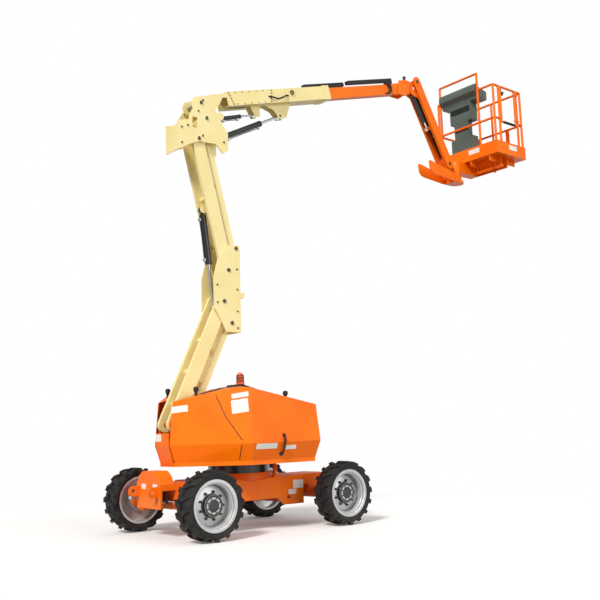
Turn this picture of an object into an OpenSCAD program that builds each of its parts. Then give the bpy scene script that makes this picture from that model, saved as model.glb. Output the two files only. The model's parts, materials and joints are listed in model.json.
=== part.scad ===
// Articulating boom lift on four wheels. Millimetres, +Z up, +X along the boom,
// origin on the ground under the slewing axis.

/* [Wheels] */
// Distance between the steer axle and the drive axle
wheelbase = 1960; // [1900:10:2200]
// Distance between the tyre centres of one axle
track_width = 1665; // [1620:5:1800]
// Tyre diameter over the lugs
tyre_d = 775; // [740:5:800]
// Tyre width
tyre_w = 265; // [240:5:280]
// Diameter of the rim where the tyre sits
rim_d = 540; // [500:5:560]
// Width of the rim
rim_w = 236; // [220:2:240]
// Height of a tread lug
lug_h = 26; // [10:1:32]
// Radius of the wheel spindles
spindle_r = 48; // [36:1:55]

/* [Chassis] */
// Half the width of the main frame
frame_half_w = 430; // [380:5:450]
// Height of the main frame's top
frame_top = 612; // [590:2:640]
// Height of the main frame's underside near the steer axle
frame_low = 362; // [340:2:400]
// Distance of the kingpins from the centre plane
king_y = 640; // [620:2:660]
// Radius of the kingpins
king_r = 34; // [28:1:40]
// Outer radius of the slewing bearing
bearing_r = 380; // [340:5:420]
// Radius of a tie-down eye
tie_eye_r = 25; // [18:1:30]

/* [Turntable and hoods] */
// Height of the turntable plate's top
table_top = 840; // [830:1:850]
// Thickness of the turntable plate
table_t = 46; // [36:1:56]
// Half the width over the hoods
hood_half_w = 930; // [880:5:960]
// Distance of the hoods' tail from the slewing axis
hood_tail = 1085; // [1050:5:1120]
// Distance of the hoods' nose from the slewing axis
hood_nose = 800; // [740:5:860]
// Height of the hoods' crease, where they are widest
hood_crease = 1040; // [1000:5:1080]
// Height of the hoods' ridge
hood_ridge = 1690; // [1640:5:1740]
// Thickness of a hood's wall
hood_wall = 6; // [4:1:10]
// Distance of the hoods' inner edge from the centre plane
hood_inner = 166; // [162:1:190]

/* [Tower] */
// Distance of the lower riser's foot pin behind the slewing axis
foot_back = 992; // [960:1:1020]
// Height of the lower riser's foot pin
foot_z = 1279; // [1260:1:1300]
// Length of the lower riser between its pins
lower_len = 1677; // [1600:1:1750]
// Angle of the lower riser
lower_ang = 64.3; // [60:0.1:70]
// Length of the upper riser between its pins
upper_len = 1700; // [1600:1:1750]
// Angle of the upper riser
upper_ang = 104; // [98:0.5:108]
// Depth of a riser's arm
riser_depth = 172; // [140:2:190]
// Depth of a levelling link
link_depth = 84; // [60:2:90]
// Radius of the tower's pins
tower_pin_r = 26; // [20:1:30]
// Bore radius of the tower cylinder's barrel over its wall
tower_barrel_r = 44; // [36:1:45]

/* [Boom] */
// Angle of the main boom
boom_ang = 16; // [10:0.5:20]
// Distance from the boom's pivot to the end of its base section
base_reach = 2330; // [2200:5:2400]
// Distance from the boom's pivot to the levelling pin at the fly's nose
fly_reach = 3995; // [3900:5:4100]
// Height of the base section
base_h = 190; // [176:2:210]
// Width of the base section
base_w = 240; // [220:2:244]
// Wall of the base section
base_wall = 10; // [6:1:14]
// Height of the fly section
fly_h = 160; // [140:2:164]
// Width of the fly section
fly_w = 130; // [110:2:140]
// Radius of the lift cylinder's barrel
lift_barrel_r = 40; // [34:1:41]
// Radius of the levelling cylinder's barrel
level_barrel_r = 27; // [22:1:30]

/* [Jib] */
// Length of the jib between its pins
jib_len = 1420; // [1380:5:1460]
// Angle of the jib below the horizontal
jib_drop = 61; // [55:1:63]
// Depth of the jib's arm
jib_depth = 156; // [140:2:170]
// Radius of the jib cylinder's barrel
jib_barrel_r = 34; // [28:1:38]

/* [Platform] */
// Length of the platform across the boom
deck_len = 1220; // [1100:10:1400]
// Width of the platform along the boom
deck_w = 760; // [700:10:910]
// Height of the guard rails over the deck
rail_h = 1140; // [1000:10:1200]
// Height of the toe board
toe_h = 170; // [100:5:200]
// Radius of the rail tubes
rail_r = 19; // [16:0.5:24]
// Height of the console's guard loop over the rails
loop_h = 290; // [200:5:350]
// Radius of a lanyard eye
lanyard_eye_r = 14; // [10:0.5:18]

/* [Hidden] */

$fn = 48;

// Overrun of every cut past the face that it goes through
over = 10;
// Running clearance round a pin, spindle or rod
run = 0.3;
// Side clearance between neighbouring plates of the linkage
side_gap = 8;
// Gap between flat faces that slide on each other
seat = 0.3;

// Paint and finish colours
orange = "#F27A0C";
shade_orange = "#D8481A";
cream = "#F3E2A2";
black = "#17181A";
silver = "#C9CCCE";
steel = "#8E9296";
console_grey = "#5E6B63";
amber = "#D9531E";

// A point at a distance and an angle in the boom's upright plane
function polar(r, a) = [r * cos(a), r * sin(a)];
// A point turned about the origin of the plane
function turned(p, a) = [p[0] * cos(a) - p[1] * sin(a), p[0] * sin(a) + p[1] * cos(a)];
// The points of an outline given as shares of a width and a height
function outline(shares, w, h) = [for (s = shares) [s[0] * w, s[1] * h]];

// Draws an outline of x and z between two places across the machine
module across(y_low, y_high) {
    translate([0, y_high, 0])
        rotate([90, 0, 0])
            linear_extrude(y_high - y_low)
                children();
}

// Draws the same outline on both sides of the centre plane
module pair(y_inner, y_outer) {
    across(y_inner, y_outer) children();
    across(-y_outer, -y_inner) children();
}

// A round bar across the machine at a point of the upright plane
module pin(at, r, y_low, y_high) {
    translate([at[0], y_high, at[1]])
        rotate([90, 0, 0])
            cylinder(r = r, h = y_high - y_low);
}

// A round bar on both sides of the centre plane
module pin_pair(at, r, y_inner, y_outer) {
    pin(at, r, y_inner, y_outer);
    pin(at, r, -y_outer, -y_inner);
}

// A flat bar with round ends between two points
module bar(a, b, half) {
    span = b - a;
    translate(a)
        rotate(atan2(span[1], span[0])) {
            translate([0, -half])
                square([norm(span), 2 * half]);
            circle(half);
            translate([norm(span), 0])
                circle(half);
        }
}

// A round tube or rod between two points in space
module rod(a, b, r) {
    span = b - a;
    translate(a)
        rotate([0, acos(span[2] / norm(span)), atan2(span[1], span[0])])
            cylinder(r = r, h = norm(span), $fn = 24);
}

// A box between two corners
module box(low, high) {
    translate(low)
        cube(high - low);
}

// Wheels

tyre_r = tyre_d / 2;
rim_r = rim_d / 2;
axle_x = wheelbase / 2;
wheel_y = track_width / 2;
// Wall of the rim's barrel
rim_t = 12;
// Height and thickness of the rim's lips
lip_h = 14;
lip_t = 10;
// Radius and reach of the hub's nave
nave_r = 118;
nave_in = 66;
nave_out = 72;
// Thickness and outward offset of the rim's disc
disc_t = 14;
disc_out = 26;
// Depth of the dish between the disc and the barrel
dish = 34;
// Radius of the spindle's flange and of the kingpin's housing
flange_r = 96;
king_house_r = 56;
// Reach of the steering arm in front of the kingpin
steer_arm = 170;

// Shares of the carcass's section, from the bead round the tread and back
tyre_section_shares = [
    [0, -0.40], [0.25, -0.48], [0.65, -0.48], [1, -0.40],
    [1, 0.40], [0.65, 0.48], [0.25, 0.48], [0, 0.40]
];
// Lugs on each side of the tread, their thickness and their slant
lug_count = 16;
lug_t = 46;
lug_slant = 26;
// Shares of a lug's section: of its height over the carcass, and of the tyre's width
lug_shares = [[-0.5, 0], [1, 0], [1, 0.40], [0.55, 0.49], [-1.6, 0.50], [-1.6, 0.42]];
// Turns a wheel's outline, drawn as radius and width, about the wheel's axis
module spun() {
    rotate([-90, 0, 0])
        rotate_extrude($fn = 40)
            children();
}

module tyre() {
    bead_r = rim_r + run;
    tread_r = tyre_r - lug_h;
    color(black) {
        spun()
            difference() {
                polygon([for (s = tyre_section_shares)
                    [bead_r + s[0] * (tread_r - bead_r), s[1] * tyre_w]]);
                // room for the rim's lips
                for (side = [-1, 1])
                    translate([bead_r - over, side * (rim_w / 2 - lip_t - run) - (side < 0 ? tyre_w : 0)])
                        square([lip_h + 2 * run + over, tyre_w]);
            }
        for (side = [-1, 1], i = [0:lug_count - 1])
            rotate([0, (i + side / 4) * 360 / lug_count, 0])
                lug(side);
    }
}

// A lug from the middle of the tread over one shoulder, its corners level with the tyre's radius
module lug(side) {
    middle = tyre_w / 4;
    corner = middle * sin(lug_slant) + lug_t / 2;
    top_r = sqrt(tyre_r * tyre_r - corner * corner);
    translate([0, side * middle, 0])
        rotate([side * lug_slant, 0, 0])
            translate([0, 0, -lug_t / 2])
                linear_extrude(lug_t)
                    polygon([for (s = lug_shares)
                        [top_r + (s[0] - 1) * lug_h, side * (s[1] * tyre_w - middle)]]);
}

module rim() {
    lip_r = rim_r + lip_h;
    inner_r = rim_r - rim_t;
    bore_r = spindle_r + run;
    end = rim_w / 2;
    color(silver)
        spun()
            polygon([
                [bore_r, -nave_in], [nave_r, -nave_in], [nave_r, disc_out - disc_t],
                [inner_r, disc_out - dish - disc_t], [inner_r, -end], [lip_r, -end], [lip_r, lip_t - end],
                [rim_r, lip_t - end], [rim_r, end - lip_t], [lip_r, end - lip_t], [lip_r, end],
                [inner_r, end], [inner_r, disc_out - dish], [nave_r, disc_out], [nave_r, nave_out],
                [0, nave_out], [0, disc_out], [bore_r, disc_out]
            ]);
}

// Places a wheel's part at an axle and a side, with its outer face outwards
module at_wheel(x, side) {
    translate([x, side * wheel_y, tyre_r])
        rotate([0, 0, side > 0 ? 0 : 180])
            children();
}

module tyre_steer_left() { at_wheel(-axle_x, 1) tyre(); }
module tyre_steer_right() { at_wheel(-axle_x, -1) tyre(); }
module tyre_drive_left() { at_wheel(axle_x, 1) tyre(); }
module tyre_drive_right() { at_wheel(axle_x, -1) tyre(); }
module rim_steer_left() { at_wheel(-axle_x, 1) rim(); }
module rim_steer_right() { at_wheel(-axle_x, -1) rim(); }
module rim_drive_left() { at_wheel(axle_x, 1) rim(); }
module rim_drive_right() { at_wheel(axle_x, -1) rim(); }

// Chassis

// Half the height of the knuckle's housing between the axle's yokes
knuckle_half_h = 92;
// Thickness of a yoke plate
yoke_t = 22;
// Half the depth and height of the steer axle's beam
beam_half_x = 88;
beam_half_h = 66;
// Half the width of the frame's narrow ends
end_half_w = 270;
// Reach of the frame's bumpers past the axles
bumper_out = 290;
// Thickness of the frame's end plates
plate_t = 24;
// Radius of the drive axle's tube and of its motor housings
axle_tube_r = 74;
motor_r = 128;
motor_len = 120;
// Gap between the knuckle's flange or motor and the wheel's nave
hub_gap = 6;
// Height of the drop of the frame's underside near the drive axle
frame_drop = 92;
// Depth of the saddle in the frame's top below the turntable
saddle_drop = 76;
// Height of the hump over the steer axle
hump_h = 146;
// Height of the plinth under the slewing bearing
plinth_h = 66;

bumper_x = axle_x + bumper_out;
flange_y = wheel_y - nave_in - hub_gap;
drive_end_low = tyre_r + axle_tube_r + plate_t;
table_low = table_top - table_t;
plinth_top = frame_top + plinth_h;
bearing_top = table_low - seat;

// Shares of half the frame's length and of its height, seen from the side
frame_shares = [
    [-0.92, 1], [-0.45, 1], [-0.30, 0.94], [0.06, 0.94], [0.16, 1], [0.95, 1.03],
    [0.95, 0], [0.52, 0], [0.36, 0.26], [-0.92, 0.26]
];
// Shares for the hump over the steer axle, of its width and its height
hump_shares = [[-1, 0], [-0.82, 0.62], [-0.5, 1], [0.5, 1], [0.82, 0.62], [1, 0]];

module chassis_frame() {
    half_len = axle_x - beam_half_x * 3;
    low = frame_low - frame_drop;
    color(orange) {
        difference() {
            across(-frame_half_w, frame_half_w)
                translate([0, low])
                    polygon(outline(frame_shares, half_len, frame_top - low));
            // hollow between the side plates, open below
            across(-frame_half_w + plate_t, frame_half_w - plate_t)
                translate([0, low - plate_t])
                    polygon(outline(frame_shares, half_len * 0.92, frame_top - low - saddle_drop / 2));
            // hand hole through the side plates
            for (side = [-1, 1])
                translate([half_len * 0.62, side * frame_half_w, low + frame_drop])
                    rotate([90, 0, 0])
                        cylinder(r = tie_eye_r, h = 2 * plate_t, center = true);
        }
        // plinth of the slewing bearing
        translate([0, 0, frame_top - saddle_drop])
            cylinder(r = bearing_r + plate_t, h = plinth_top - frame_top + saddle_drop);
        // narrow end towards the steer axle
        box([-bumper_x, -end_half_w, frame_top - 3 * plate_t], [-half_len * 0.9, end_half_w, frame_top]);
        box([-axle_x + beam_half_x, -end_half_w, frame_low], [-half_len * 0.9, end_half_w, frame_top]);
        // end plates and bumper of the steer end
        box([-bumper_x, -end_half_w, frame_low - plate_t], [-bumper_x + plate_t, end_half_w, frame_top]);
        translate([-bumper_x, 0, frame_top])
            rotate([90, 0, 90])
                linear_extrude(2 * beam_half_x)
                    polygon(outline(hump_shares, end_half_w, hump_h));
        // narrow end over the drive axle
        box([half_len * 0.9, -end_half_w, drive_end_low], [bumper_x, end_half_w, frame_top]);
    }
}

module steer_axle() {
    color(orange)
        difference() {
            union() {
                box([-axle_x - beam_half_x, -king_y, tyre_r - beam_half_h],
                    [-axle_x + beam_half_x, king_y, tyre_r + beam_half_h]);
                // saddle that carries the frame
                box([-axle_x - beam_half_x, -end_half_w, tyre_r],
                    [-axle_x + beam_half_x, end_half_w, frame_top - 3 * plate_t]);
                // yoke plates over and under each kingpin
                for (side = [-1, 1], level = [-1, 1])
                    translate([-axle_x, side * king_y,
                            tyre_r + level * (knuckle_half_h + seat + yoke_t / 2)]) {
                        cylinder(r = king_house_r, h = yoke_t, center = true);
                        translate([0, -side * king_house_r, 0])
                            cube([2 * king_house_r, 2 * king_house_r, yoke_t], center = true);
                    }
                for (side = [-1, 1])
                    translate([-axle_x, side * (king_y - 1.8 * king_house_r), tyre_r])
                        cube([2 * king_r, king_house_r, 2 * knuckle_half_h + 2 * seat + 2 * yoke_t],
                            center = true);
            }
            for (side = [-1, 1]) {
                // room for the knuckle
                translate([-axle_x, side * king_y, tyre_r - knuckle_half_h - seat])
                    cylinder(r = king_house_r + side_gap, h = 2 * knuckle_half_h + 2 * seat);
                translate([-axle_x, side * (king_y + king_house_r), tyre_r])
                    cube([4 * king_house_r, 2 * king_house_r, 2 * knuckle_half_h + 2 * seat], center = true);
                // kingpin bores
                translate([-axle_x, side * king_y, tyre_r - knuckle_half_h - 2 * yoke_t])
                    cylinder(r = king_r + run, h = 2 * knuckle_half_h + 4 * yoke_t);
            }
        }
}

// A steering knuckle on the left side: kingpin, spindle and steering arm
module knuckle() {
    translate([-axle_x, king_y, tyre_r]) {
        cylinder(r = king_house_r, h = 2 * knuckle_half_h, center = true);
        cylinder(r = king_r, h = 2 * knuckle_half_h + 2 * yoke_t, center = true);
    }
    translate([-axle_x, flange_y, tyre_r])
        rotate([90, 0, 0]) {
            cylinder(r = flange_r, h = plate_t);
            cylinder(r = spindle_r, h = flange_y - king_y);
        }
    translate([-axle_x, flange_y, tyre_r])
        rotate([-90, 0, 0])
            cylinder(r = spindle_r, h = hub_gap + nave_in + disc_out - seat);
    // steering arm, level with the cylinder's rod
    translate([-axle_x, king_y, tyre_r + knuckle_half_h - plate_t])
        linear_extrude(plate_t)
            bar([0, 0], [-steer_arm, 0], king_r);
}

module knuckle_left() { color(orange) knuckle(); }
module knuckle_right() { color(orange) mirror([0, 1, 0]) knuckle(); }

// Radius of the steering cylinder's barrel and rod
steer_barrel_r = 36;
steer_rod_r = 15;
steer_barrel_half = 215;
steer_z = tyre_r + knuckle_half_h - plate_t - side_gap - steer_barrel_r / 2;

module steer_cylinder() {
    color(black)
        difference() {
            union() {
                pin([-axle_x - steer_arm, steer_z], steer_barrel_r, -steer_barrel_half, steer_barrel_half);
                // clamps on the beam
                for (side = [-1, 1])
                    box([-axle_x - steer_arm, side * steer_barrel_half / 2 - plate_t, steer_z - steer_barrel_r / 2],
                        [-axle_x - beam_half_x, side * steer_barrel_half / 2 + plate_t,
                            steer_z + steer_barrel_r / 2]);
            }
            pin([-axle_x - steer_arm, steer_z], steer_rod_r + run, -king_y, king_y);
        }
}

module steer_rod() {
    eye_y = king_y - king_r / 2;
    color(steel) {
        pin([-axle_x - steer_arm, steer_z], steer_rod_r, -eye_y, eye_y);
        for (side = [-1, 1])
            translate([-axle_x - steer_arm, side * king_y, steer_z])
                cylinder(r = king_r, h = steer_barrel_r, center = true);
    }
}

module drive_axle() {
    color(orange) {
        pin([axle_x, tyre_r], axle_tube_r, -flange_y + motor_len, flange_y - motor_len);
        for (side = [-1, 1])
            translate([axle_x, side * flange_y, tyre_r])
                rotate([side * 90, 0, 0])
                    cylinder(r = motor_r, h = motor_len);
        // saddle that carries the frame
        box([axle_x - beam_half_x, -end_half_w, tyre_r], [axle_x + beam_half_x, end_half_w, drive_end_low]);
    }
    color(steel)
        for (side = [-1, 1])
            translate([axle_x, side * flange_y, tyre_r])
                rotate([-side * 90, 0, 0])
                    cylinder(r = spindle_r, h = hub_gap + nave_in + disc_out - seat);
}

module slew_bearing() {
    color(black)
        translate([0, 0, plinth_top]) {
            difference() {
                cylinder(r = bearing_r, h = bearing_top - plinth_top, $fn = 72);
                translate([0, 0, -over])
                    cylinder(r = bearing_r - 3 * plate_t, h = bearing_top - plinth_top + 2 * over, $fn = 72);
            }
        }
}

// Size of a tie-down lug round its eye, and how far it stands from the frame
tie_half = 58;
tie_out = 74;
tie_z = frame_top - tie_half - plate_t;
tie_y = end_half_w - 2 * plate_t;

module tie_down_lugs() {
    color(orange)
        for (end = [-1, 1], side = [-1, 1])
            difference() {
                union() {
                    box([end > 0 ? bumper_x : -bumper_x - tie_out, side * tie_y - plate_t / 2, tie_z - tie_half],
                        [end > 0 ? bumper_x + tie_out : -bumper_x, side * tie_y + plate_t / 2, tie_z + tie_half]);
                    pin([end * (bumper_x + tie_out), tie_z], tie_half,
                        side * tie_y - plate_t / 2, side * tie_y + plate_t / 2);
                }
                pin([end * (bumper_x + tie_out), tie_z], tie_eye_r,
                    side * tie_y - plate_t, side * tie_y + plate_t);
                // flat where the lug is welded on
                box([end > 0 ? bumper_x - 2 * tie_out : -bumper_x, side * tie_y - plate_t, tie_z - 2 * tie_half],
                    [end > 0 ? bumper_x : -bumper_x + 2 * tie_out, side * tie_y + plate_t, tie_z + 2 * tie_half]);
            }
}

// Tower pins in the upright plane, from the foot to the boom's pivot

// Layers of the linkage outwards from the centre plane
link_in = 58;
link_out = 72;
riser_in = link_out + side_gap;
riser_out = 122;
plate_in = riser_out + side_gap;
plate_out = plate_in + 15;
// Offset of the lower link's pins from the lower riser's
lower_link_x = 110;
lower_link_z = -270;
// Place of the upper riser's pin over the lower riser's on the middle upright
mid_pin_x = 74;
mid_pin_z = 400;
// Offset of the upper link's pins from the upper riser's
upper_link_x = 120;
upper_link_z = 290;
// Place of the boom's pivot over the upper riser's top pin
boom_pin_x = 40;
boom_pin_z = 480;
// Radius of the bosses round the pins
boss_r = 62;

foot = [-foot_back, foot_z];
foot_link = foot + [lower_link_x, lower_link_z];
knee = foot + polar(lower_len, lower_ang);
knee_link = foot_link + polar(lower_len, lower_ang);
hip = knee + [mid_pin_x, mid_pin_z];
hip_link = hip + [upper_link_x, upper_link_z];
crown = hip + polar(upper_len, upper_ang);
crown_link = hip_link + polar(upper_len, upper_ang);
boom_pin = crown + [boom_pin_x, boom_pin_z];

// Turntable

// Thickness of the bulkheads beside the tower, and their gap to the tower's plates
bulkhead_t = 8;
bulkhead_gap = 5;
bulkhead_y = plate_out + bulkhead_gap;
// Ends of the bulkheads along the machine
bulkhead_back = 620;
bulkhead_front = 430;
// Room under the lower riser's foot pin for its end
foot_clear = 96;
// Front of the turntable plate between the hoods
table_front = 450;
// Radius of a hood's hinge pin, and how far its axis stands over the ridge
hinge_r = 9;
hinge_over = 26;
hinge_len = 70;
hinge_eye_r = 18;
hinge_out = hinge_eye_r + bulkhead_t + side_gap / 2;
// Heights of the hood's top at its tail and its nose
hood_tail_z = 1530;
hood_nose_z = 1420;
// Place of the ridge behind the slewing axis
ridge_back = 500;
// Share of the plan where the side panel begins and ends, along the machine
corner_back = 450;
corner_front = 560;
// Half width of the nose panel
nose_half_w = 480;
// Inset of the hood's foot and of its top from the crease
foot_inset = 70;
top_inset = 62;
// Places of the hood's hinges along the machine
hinge_places = [-300, 260];

hood_slope = atan2(hood_nose_z - hood_ridge, hood_nose + ridge_back);
// Height of the hood's top over a place in front of the ridge
function hood_top(x) = hood_ridge + (x + ridge_back) * tan(hood_slope);

module turntable() {
    color(shade_orange) {
        difference() {
            translate([0, 0, table_low])
                linear_extrude(table_t)
                    polygon(concat(
                        hood_plan(foot_inset, 1),
                        [[table_front, bulkhead_y], [table_front, -bulkhead_y]],
                        [for (i = [4:-1:0]) hood_plan(foot_inset, -1)[i]]
                    ));
            translate([0, 0, table_low - over])
                cylinder(r = bearing_r / 2, h = table_t + 2 * over);
        }
        // cheeks that carry the lower riser and its link
        pair(plate_in, plate_out)
            difference() {
                union() {
                    translate([foot[0], table_top])
                        polygon(outline(cheek_shares, foot_back, foot_z - table_top));
                    translate(foot)
                        circle(boss_r + side_gap);
                }
                translate(foot)
                    circle(tower_pin_r / 2);
            }
        pin_pair(foot, tower_pin_r, riser_in - side_gap / 2, plate_out);
        pin_pair(foot_link, tower_pin_r, link_in - side_gap / 2, plate_out);
        // bulkheads with the hoods' hinge pins
        pair(bulkhead_y, bulkhead_y + bulkhead_t)
            polygon([
                [-bulkhead_back, table_top], [bulkhead_front, table_top],
                [bulkhead_front, hood_top(bulkhead_front) - hinge_over],
                [-ridge_back, hood_ridge - hinge_over], [-bulkhead_back, hood_ridge - 4 * hinge_over]
            ]);
        // tail plate between the hoods, bent where they are widest
        across(-plate_out, plate_out)
            polygon([
                [-hood_tail + foot_inset, table_low], [-hood_tail, hood_crease],
                [-hood_tail, foot_z - foot_clear], [bulkhead_t - hood_tail, foot_z - foot_clear],
                [bulkhead_t - hood_tail, hood_crease], [bulkhead_t - hood_tail + foot_inset, table_low]
            ]);
    }
    color(steel)
        for (x = hinge_places, side = [-1, 1])
            translate([x, side * bulkhead_y, hood_top(x) + hinge_over])
                hinge_post(side);
}

// Shares of the cheek plates' outline, of the foot's setback and its height over the table
cheek_shares = [
    [-0.055, 0.10], [-0.055, 1], [0.055, 1.02], [0.20, 0.30], [0.22, 0]  , [0, 0]
];

// A pillar on the bulkhead with the hinge pin across its top
module hinge_post(side) {
    rotate([0, 90 - hood_slope, 0]) {
        translate([0, side * hinge_out, 0])
            cylinder(r = hinge_r, h = hinge_len, center = true);
        for (end = [-1, 1])
            translate([0, side * hinge_out / 2, end * (hinge_len / 2 - bulkhead_t / 2)])
                cube([2 * hinge_r, hinge_out + 2 * hinge_r, bulkhead_t], center = true);
    }
    translate([0, side * bulkhead_t / 2, -hinge_over])
        cube([hinge_len, bulkhead_t, 2 * hinge_over], center = true);
}

// Plan of one hood, from the tail's inner corner round the side to the nose's
function hood_plan(inset, side) = [
    [-hood_tail + inset, side * hood_inner],
    [-corner_back + inset / 2, side * (hood_half_w - inset)],
    [corner_front - inset / 2, side * (hood_half_w - inset)],
    [hood_nose - inset, side * (nose_half_w - inset / 2)],
    [hood_nose - inset, side * hood_inner]
];

// The block that a hood encloses, drawn in by a wall
module hood_block(wall) {
    low = table_top + seat;
    intersection() {
        hull() {
            translate([0, 0, low - (wall > 0 ? over : 0)])
                linear_extrude(seat)
                    polygon(hood_plan(foot_inset + wall, -1));
            translate([0, 0, hood_crease])
                linear_extrude(seat)
                    polygon(hood_plan(wall, -1));
            translate([0, 0, hood_ridge])
                linear_extrude(seat)
                    polygon(hood_plan(top_inset + wall, -1));
        }
        across(-2 * hood_half_w, 0)
            polygon([
                [-2 * hood_tail, low - over], [2 * hood_nose, low - over],
                [2 * hood_nose, hood_top(2 * hood_nose) - wall],
                [-ridge_back, hood_ridge - wall],
                [-hood_tail, hood_tail_z - wall], [-2 * hood_tail, 2 * hood_tail_z - hood_ridge - wall]
            ]);
    }
}

// A hood on the right side: an open shell with its hinge eyes
module hood() {
    difference() {
        hood_block(0);
        intersection() {
            hood_block(hood_wall);
            box([-2 * hood_tail, -2 * hood_half_w, 0], [2 * hood_nose, -hood_inner + over, hood_ridge]);
        }
        // open towards the tower
        box([-bulkhead_back, -hood_inner - hood_wall, 0],
            [bulkhead_front, 0, hood_top(hood_nose)]);
    }
    for (x = hinge_places)
        translate([x, -bulkhead_y - hinge_out, hood_top(x) + hinge_over])
            rotate([0, 90 - hood_slope, 0])
                difference() {
                    union() {
                        cylinder(r = hinge_eye_r, h = hinge_len - 3 * bulkhead_t, center = true);
                        translate([hinge_over / 2 + hood_wall / 2, 0, 0])
                            cube([hinge_over, 2 * hinge_eye_r, hinge_len - 3 * bulkhead_t], center = true);
                    }
                    cylinder(r = hinge_r + run, h = hinge_len, center = true);
                }
}

module hood_near() { color(orange) hood(); }
module hood_far() { color(orange) mirror([0, 1, 0]) hood(); }

// Radius and height of the warning lamp and of its base
lamp_r = 42;
lamp_h = 96;
lamp_base_h = 26;

// Black deck cover on the near hood
cover_len = 460;
cover_w = 300;
cover_h = 34;
cover_y = 560;
post_r = 20;
post_h = 64;
// Place of the warning lamp on the cover
lamp_x = -ridge_back + cover_len / 3;
lamp_z = hood_top(-ridge_back) + cover_h;

module hood_fittings() {
    color(black) {
        translate([0, -cover_y - cover_w / 2, 0])
            across(0, cover_w)
                polygon([
                    [-ridge_back + cover_h, hood_top(-ridge_back + cover_h) + seat],
                    [-ridge_back + cover_len, hood_top(-ridge_back + cover_len) + seat],
                    [-ridge_back + cover_len - cover_h, hood_top(-ridge_back + cover_len) + cover_h],
                    [-ridge_back + 2 * cover_h, hood_top(-ridge_back) + cover_h]
                ]);
        // flat seat of the warning lamp
        translate([lamp_x, -cover_y, hood_top(lamp_x) + cover_h / 2])
            cylinder(r = lamp_r + side_gap, h = lamp_z - hood_top(lamp_x) - cover_h / 2);
        translate([corner_front / 3, -cover_y, hood_top(corner_front / 3) + 2 * seat])
            rotate([0, -hood_slope, 0])
                hood_post();
    }
}

// A black rubber post on a hood's top
module hood_post() {
    cylinder(r = post_r * 0.7, h = post_h);
    translate([0, 0, post_h * 0.6])
        cylinder(r = post_r, h = post_h * 0.4);
}

module hood_post_far() {
    x = -(hood_tail + ridge_back) / 2;
    z = (hood_tail_z + hood_ridge) / 2;
    color(black)
        translate([x, 2 * hood_inner, z + 2 * seat])
            rotate([0, -atan2(hood_ridge - hood_tail_z, hood_tail - ridge_back), 0])
                hood_post();
}

module beacon() {
    translate([lamp_x, -cover_y, lamp_z]) {
        color(black)
            cylinder(r = lamp_r + side_gap, h = lamp_base_h);
        color(amber)
            translate([0, 0, lamp_base_h]) {
                cylinder(r = lamp_r, h = lamp_h - lamp_r / 2);
                translate([0, 0, lamp_h - lamp_r / 2])
                    sphere(lamp_r);
            }
    }
}

// Room between the hoods' insides and what stands on the turntable
bay_gap = 60;
// Heights of the counterweight, the engine and the tanks
weight_h = 470;
engine_h = 520;
tank_h = 380;

module counterweight() {
    inner = bulkhead_y + bulkhead_t + side_gap;
    color(shade_orange)
        for (side = [-1, 1])
            translate([0, 0, table_top])
                linear_extrude(weight_h)
                    polygon([
                        [-hood_tail + foot_inset + 2 * bay_gap, side * inner],
                        [-corner_back - bay_gap, side * (hood_half_w - foot_inset - 3 * bay_gap)],
                        [-corner_back, side * (hood_half_w - foot_inset - 3 * bay_gap)],
                        [-corner_back, side * inner]
                    ]);
}

module engine_block() {
    inner = bulkhead_y + bulkhead_t + side_gap;
    color(steel)
        box([-corner_back + bay_gap, inner, table_top],
            [corner_front - bay_gap, hood_half_w - foot_inset - 2 * bay_gap, table_top + engine_h]);
}

module tank_block() {
    inner = bulkhead_y + bulkhead_t + side_gap;
    color(black)
        box([-corner_back + bay_gap, -hood_half_w + foot_inset + 2 * bay_gap, table_top],
            [corner_front - bay_gap, -inner, table_top + tank_h]);
}

// Tower

// Places of the cross tubes along a riser, as shares of its length
lower_tube_shares = [0.16, 0.42, 0.68];
upper_tube_shares = [0.20, 0.56];
cross_tube_r = 30;

module riser(a, b, tube_shares) {
    difference() {
        pair(riser_in, riser_out)
            bar(a, b, riser_depth / 2);
        for (end = [a, b])
            pin(end, tower_pin_r + run, -plate_out, plate_out);
    }
    for (s = tube_shares)
        pin(a + (b - a) * s, cross_tube_r, -riser_in, riser_in);
}

module link(a, b) {
    difference() {
        pair(link_in, link_out)
            bar(a, b, link_depth / 2);
        for (end = [a, b])
            pin(end, tower_pin_r + run, -plate_out, plate_out);
    }
    // spacer tube between the two bars
    pin((a + b) / 2, tower_pin_r, -link_in, link_in);
}

module lower_riser() { color(cream) riser(foot, knee, lower_tube_shares); }
module lower_link() { color(cream) link(foot_link, knee_link); }
module upper_link() { color(cream) link(hip_link, crown_link); }

// Lug of the tower cylinder's top on the upper riser: share of the riser and set-off behind it
tower_eye_share = 0.48;
tower_eye_off = 95;
// Place of the tower cylinder's lower eye under the knee
tower_foot_x = -60;
tower_foot_z = -90;
// Half thickness of a cylinder's eye, and the lug plates on both sides of it
eye_half = 24;
lug_in = 30;
lug_out = 42;
// The wider lug plates on the boom, which the lift cylinder's barrel passes between
lift_lug_in = 47;
lift_lug_out = 52;
// Outer radius of a cylinder's eye and radius of its pin
eye_r = 40;
eye_pin_r = 20;

upper_dir = polar(1, upper_ang);
upper_back = turned(upper_dir, 90);
tower_eye = hip + upper_dir * upper_len * tower_eye_share + upper_back * tower_eye_off;
tower_foot = knee + [tower_foot_x, tower_foot_z];

module upper_riser() {
    lug_root = hip + upper_dir * upper_len * tower_eye_share;
    color(cream) {
        riser(hip, crown, upper_tube_shares);
        // lug of the tower cylinder with its pin
        pair(lug_in, lug_out)
            bar(lug_root, tower_eye, eye_r + side_gap);
        pin(lug_root, cross_tube_r, -riser_in, riser_in);
        pin(tower_eye, eye_pin_r, -lug_out, lug_out);
    }
}

// Sizes of the middle upright's plates about the knee
mid_back = 150;
mid_front = 250;
mid_up = 730;
mid_down = 385;
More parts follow.
